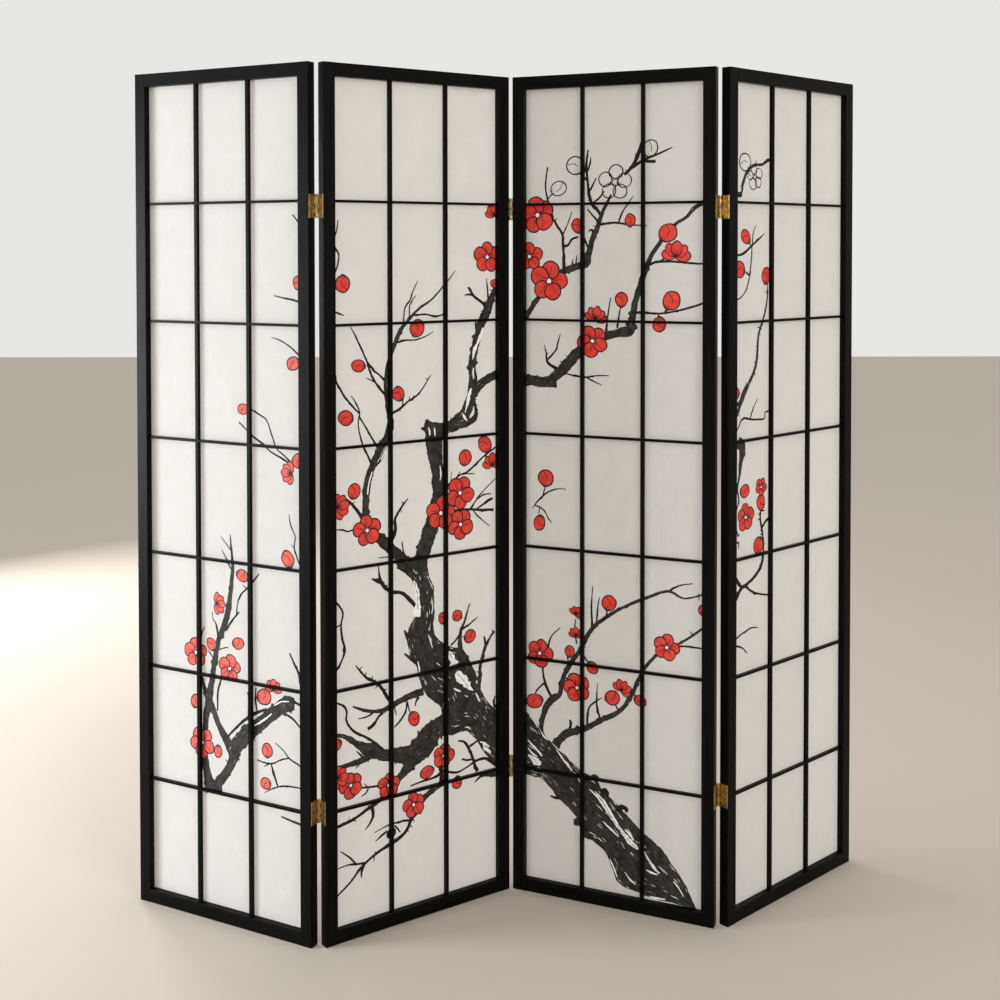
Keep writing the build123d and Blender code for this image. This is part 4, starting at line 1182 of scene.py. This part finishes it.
def old_brass(name, stain=1.0, gloss=0.36):
    """Antique brass: stained in patches, scratched and brighter on the edges."""
    finish, tree, shader = new_finish(name)
    place = own_coordinates(tree)
    stains = ramp(tree, noise_value(tree, place, 190, 5, 0.65), (0.42, 0.0), (0.60, stain))
    fine = noise_value(tree, own_coordinates(tree, 0, (1, 1, 7)), 1400, 3, 0.6)
    colour = blend_colours(tree, stains, BRASS, BRASS_STAIN)
    colour = blend_colours(tree, combine(tree, "MULTIPLY", edge_share(tree, 0.0006), 0.6), colour, BRASS_EDGE)
    tree.links.new(colour, shader.inputs["Base Color"])
    shader.inputs["Metallic"].default_value = 1.0
    stain_roughness = spread(tree, stains, gloss - 0.08, gloss + 0.14)
    scratch_roughness = spread(tree, fine, -0.08, 0.08)
    tree.links.new(combine(tree, "ADD", stain_roughness, scratch_roughness), shader.inputs["Roughness"])
    raise_surface(tree, shader, combine(tree, "ADD", fine, stains), 0.00005, 0.5)
    return finish


def pin_metal(name):
    """Drawn steel with fine rings round the pin."""
    finish, tree, shader = new_finish(name)
    rings = noise_value(tree, own_coordinates(tree, 0, (8, 8, 1)), 1500, 3, 0.6)
    colour = ramp(tree, rings, (0.3, STEEL_DARK), (0.7, STEEL_PALE))
    tree.links.new(colour, shader.inputs["Base Color"])
    shader.inputs["Metallic"].default_value = 1.0
    tree.links.new(spread(tree, rings, 0.25, 0.42), shader.inputs["Roughness"])
    raise_surface(tree, shader, rings, 0.00003, 0.5)
    return finish


def floor_finish():
    """A pale, even floor."""
    finish, tree, shader = new_finish("pale_floor")
    place = own_coordinates(tree)
    tone = noise_value(tree, place, 1.3, 4, 0.55)
    warm = tuple(c * 1.03 for c in FLOOR_COLOUR[:3]) + (1,)
    colour = blend_colours(tree, tone, FLOOR_COLOUR, warm)
    tree.links.new(colour, shader.inputs["Base Color"])
    tree.links.new(spread(tree, noise_value(tree, place, 60, 4), 0.66, 0.76), shader.inputs["Roughness"])
    shader.inputs["Specular IOR Level"].default_value = FLOOR_SHINE
    return finish


def give_finish(node, finish):
    """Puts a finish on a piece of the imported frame."""
    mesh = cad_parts[node].data
    mesh.materials.clear()
    mesh.materials.append(finish)


def finish_panel(number):
    """Wood finishes of one panel, with the grain along each piece."""
    turn = PANEL_TURNS[number]
    upright = black_wood(f"black_upright_{number}", turn, (1, 1, 26))
    level = black_wood(f"black_level_{number}", turn, (26, 1, 1))
    bead = black_wood(f"black_bead_{number}", turn, (3, 1, 3), 0.5)
    for piece in ("left_stile", "right_stile", "upright_bars"):
        give_finish(f"panel_{number}_{piece}", upright)
    for piece in ("top_rail", "bottom_rail", "cross_bars"):
        give_finish(f"panel_{number}_{piece}", level)
    give_finish(f"panel_{number}_back_beads", bead)
    give_finish(f"panel_{number}_dowels", plain_wood(f"beech_{number}", turn, (12, 1, 1)))


def finish_hinges():
    """Brass leaves and screws, and steel pins."""
    leaf = old_brass("hinge_brass")
    screw = old_brass("screw_brass", 0.55, 0.30)
    pin = pin_metal("pin_steel")
    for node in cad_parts:
        if node.endswith("_leaf"):
            give_finish(node, leaf)
        if node.endswith("_screws"):
            give_finish(node, screw)
        if node.endswith("_pins"):
            give_finish(node, pin)


# ---------------------------------------------------------------- room

def add_floor():
    """A plain floor, just under the screen's feet."""
    deselect_all()
    bpy.ops.mesh.primitive_plane_add(size=FLOOR_SIZE, location=(0, 0, -FLOOR_DROP))
    floor = bpy.context.object
    floor.name = "floor"
    bpy.ops.object.transform_apply(location=True, rotation=True, scale=True)
    floor.data.materials.append(floor_finish())


def aim(item, target):
    """Turns a lamp to face a point."""
    item.rotation_euler = (Vector(target) - item.location).to_track_quat("-Z", "Y").to_euler()


def add_panel_light(name, place, target, width, height, power, colour):
    """A soft rectangular lamp."""
    data = bpy.data.lights.new(name, "AREA")
    data.shape = "RECTANGLE"
    data.size = width
    data.size_y = height
    data.energy = power
    data.color = colour
    lamp = bpy.data.objects.new(name, data)
    bpy.context.scene.collection.objects.link(lamp)
    lamp.location = place
    aim(lamp, target)


def add_lights():
    """Even light from all round, and the soft lamps."""
    world = bpy.data.worlds.new("room")
    bpy.context.scene.world = world
    world.use_nodes = True
    background = world.node_tree.nodes["Background"]
    background.inputs["Color"].default_value = ROOM_COLOUR
    background.inputs["Strength"].default_value = ROOM_STRENGTH
    for lamp in LAMPS:
        add_panel_light(*lamp)


def add_camera():
    """The view from the front, shifted down to take in the screen's feet."""
    data = bpy.data.cameras.new("camera")
    data.lens = LENS
    data.sensor_width = SENSOR_WIDTH
    data.shift_y = LENS_SHIFT
    data.clip_end = SIGHT_END
    camera = bpy.data.objects.new("camera", data)
    bpy.context.scene.collection.objects.link(camera)
    camera.location = CAMERA_PLACE
    camera.rotation_euler = (math.radians(90 - CAMERA_DIP), math.radians(CAMERA_ROLL), 0)
    bpy.context.scene.camera = camera


# ---------------------------------------------------------------- the whole scene


add_camera()
add_lights()
add_floor()
for panel in PANELS:
    finish_panel(panel)
    paper_sheet(panel, paper_finish(f"paper_{panel}", PANEL_TURNS[panel]))
    sketch = draw_print(panel)
    print_piece(panel, sketch, print_inks(panel, False), f"panel_{panel}_print", False)
    # The skin at the paper's back is painted shade: the print's shadow through the paper.
    print_piece(panel, sketch, print_inks(panel, True), f"panel_{panel}_painted_print_shadow", True)
finish_hinges()
bpy.context.scene.view_settings.view_transform = "Standard"
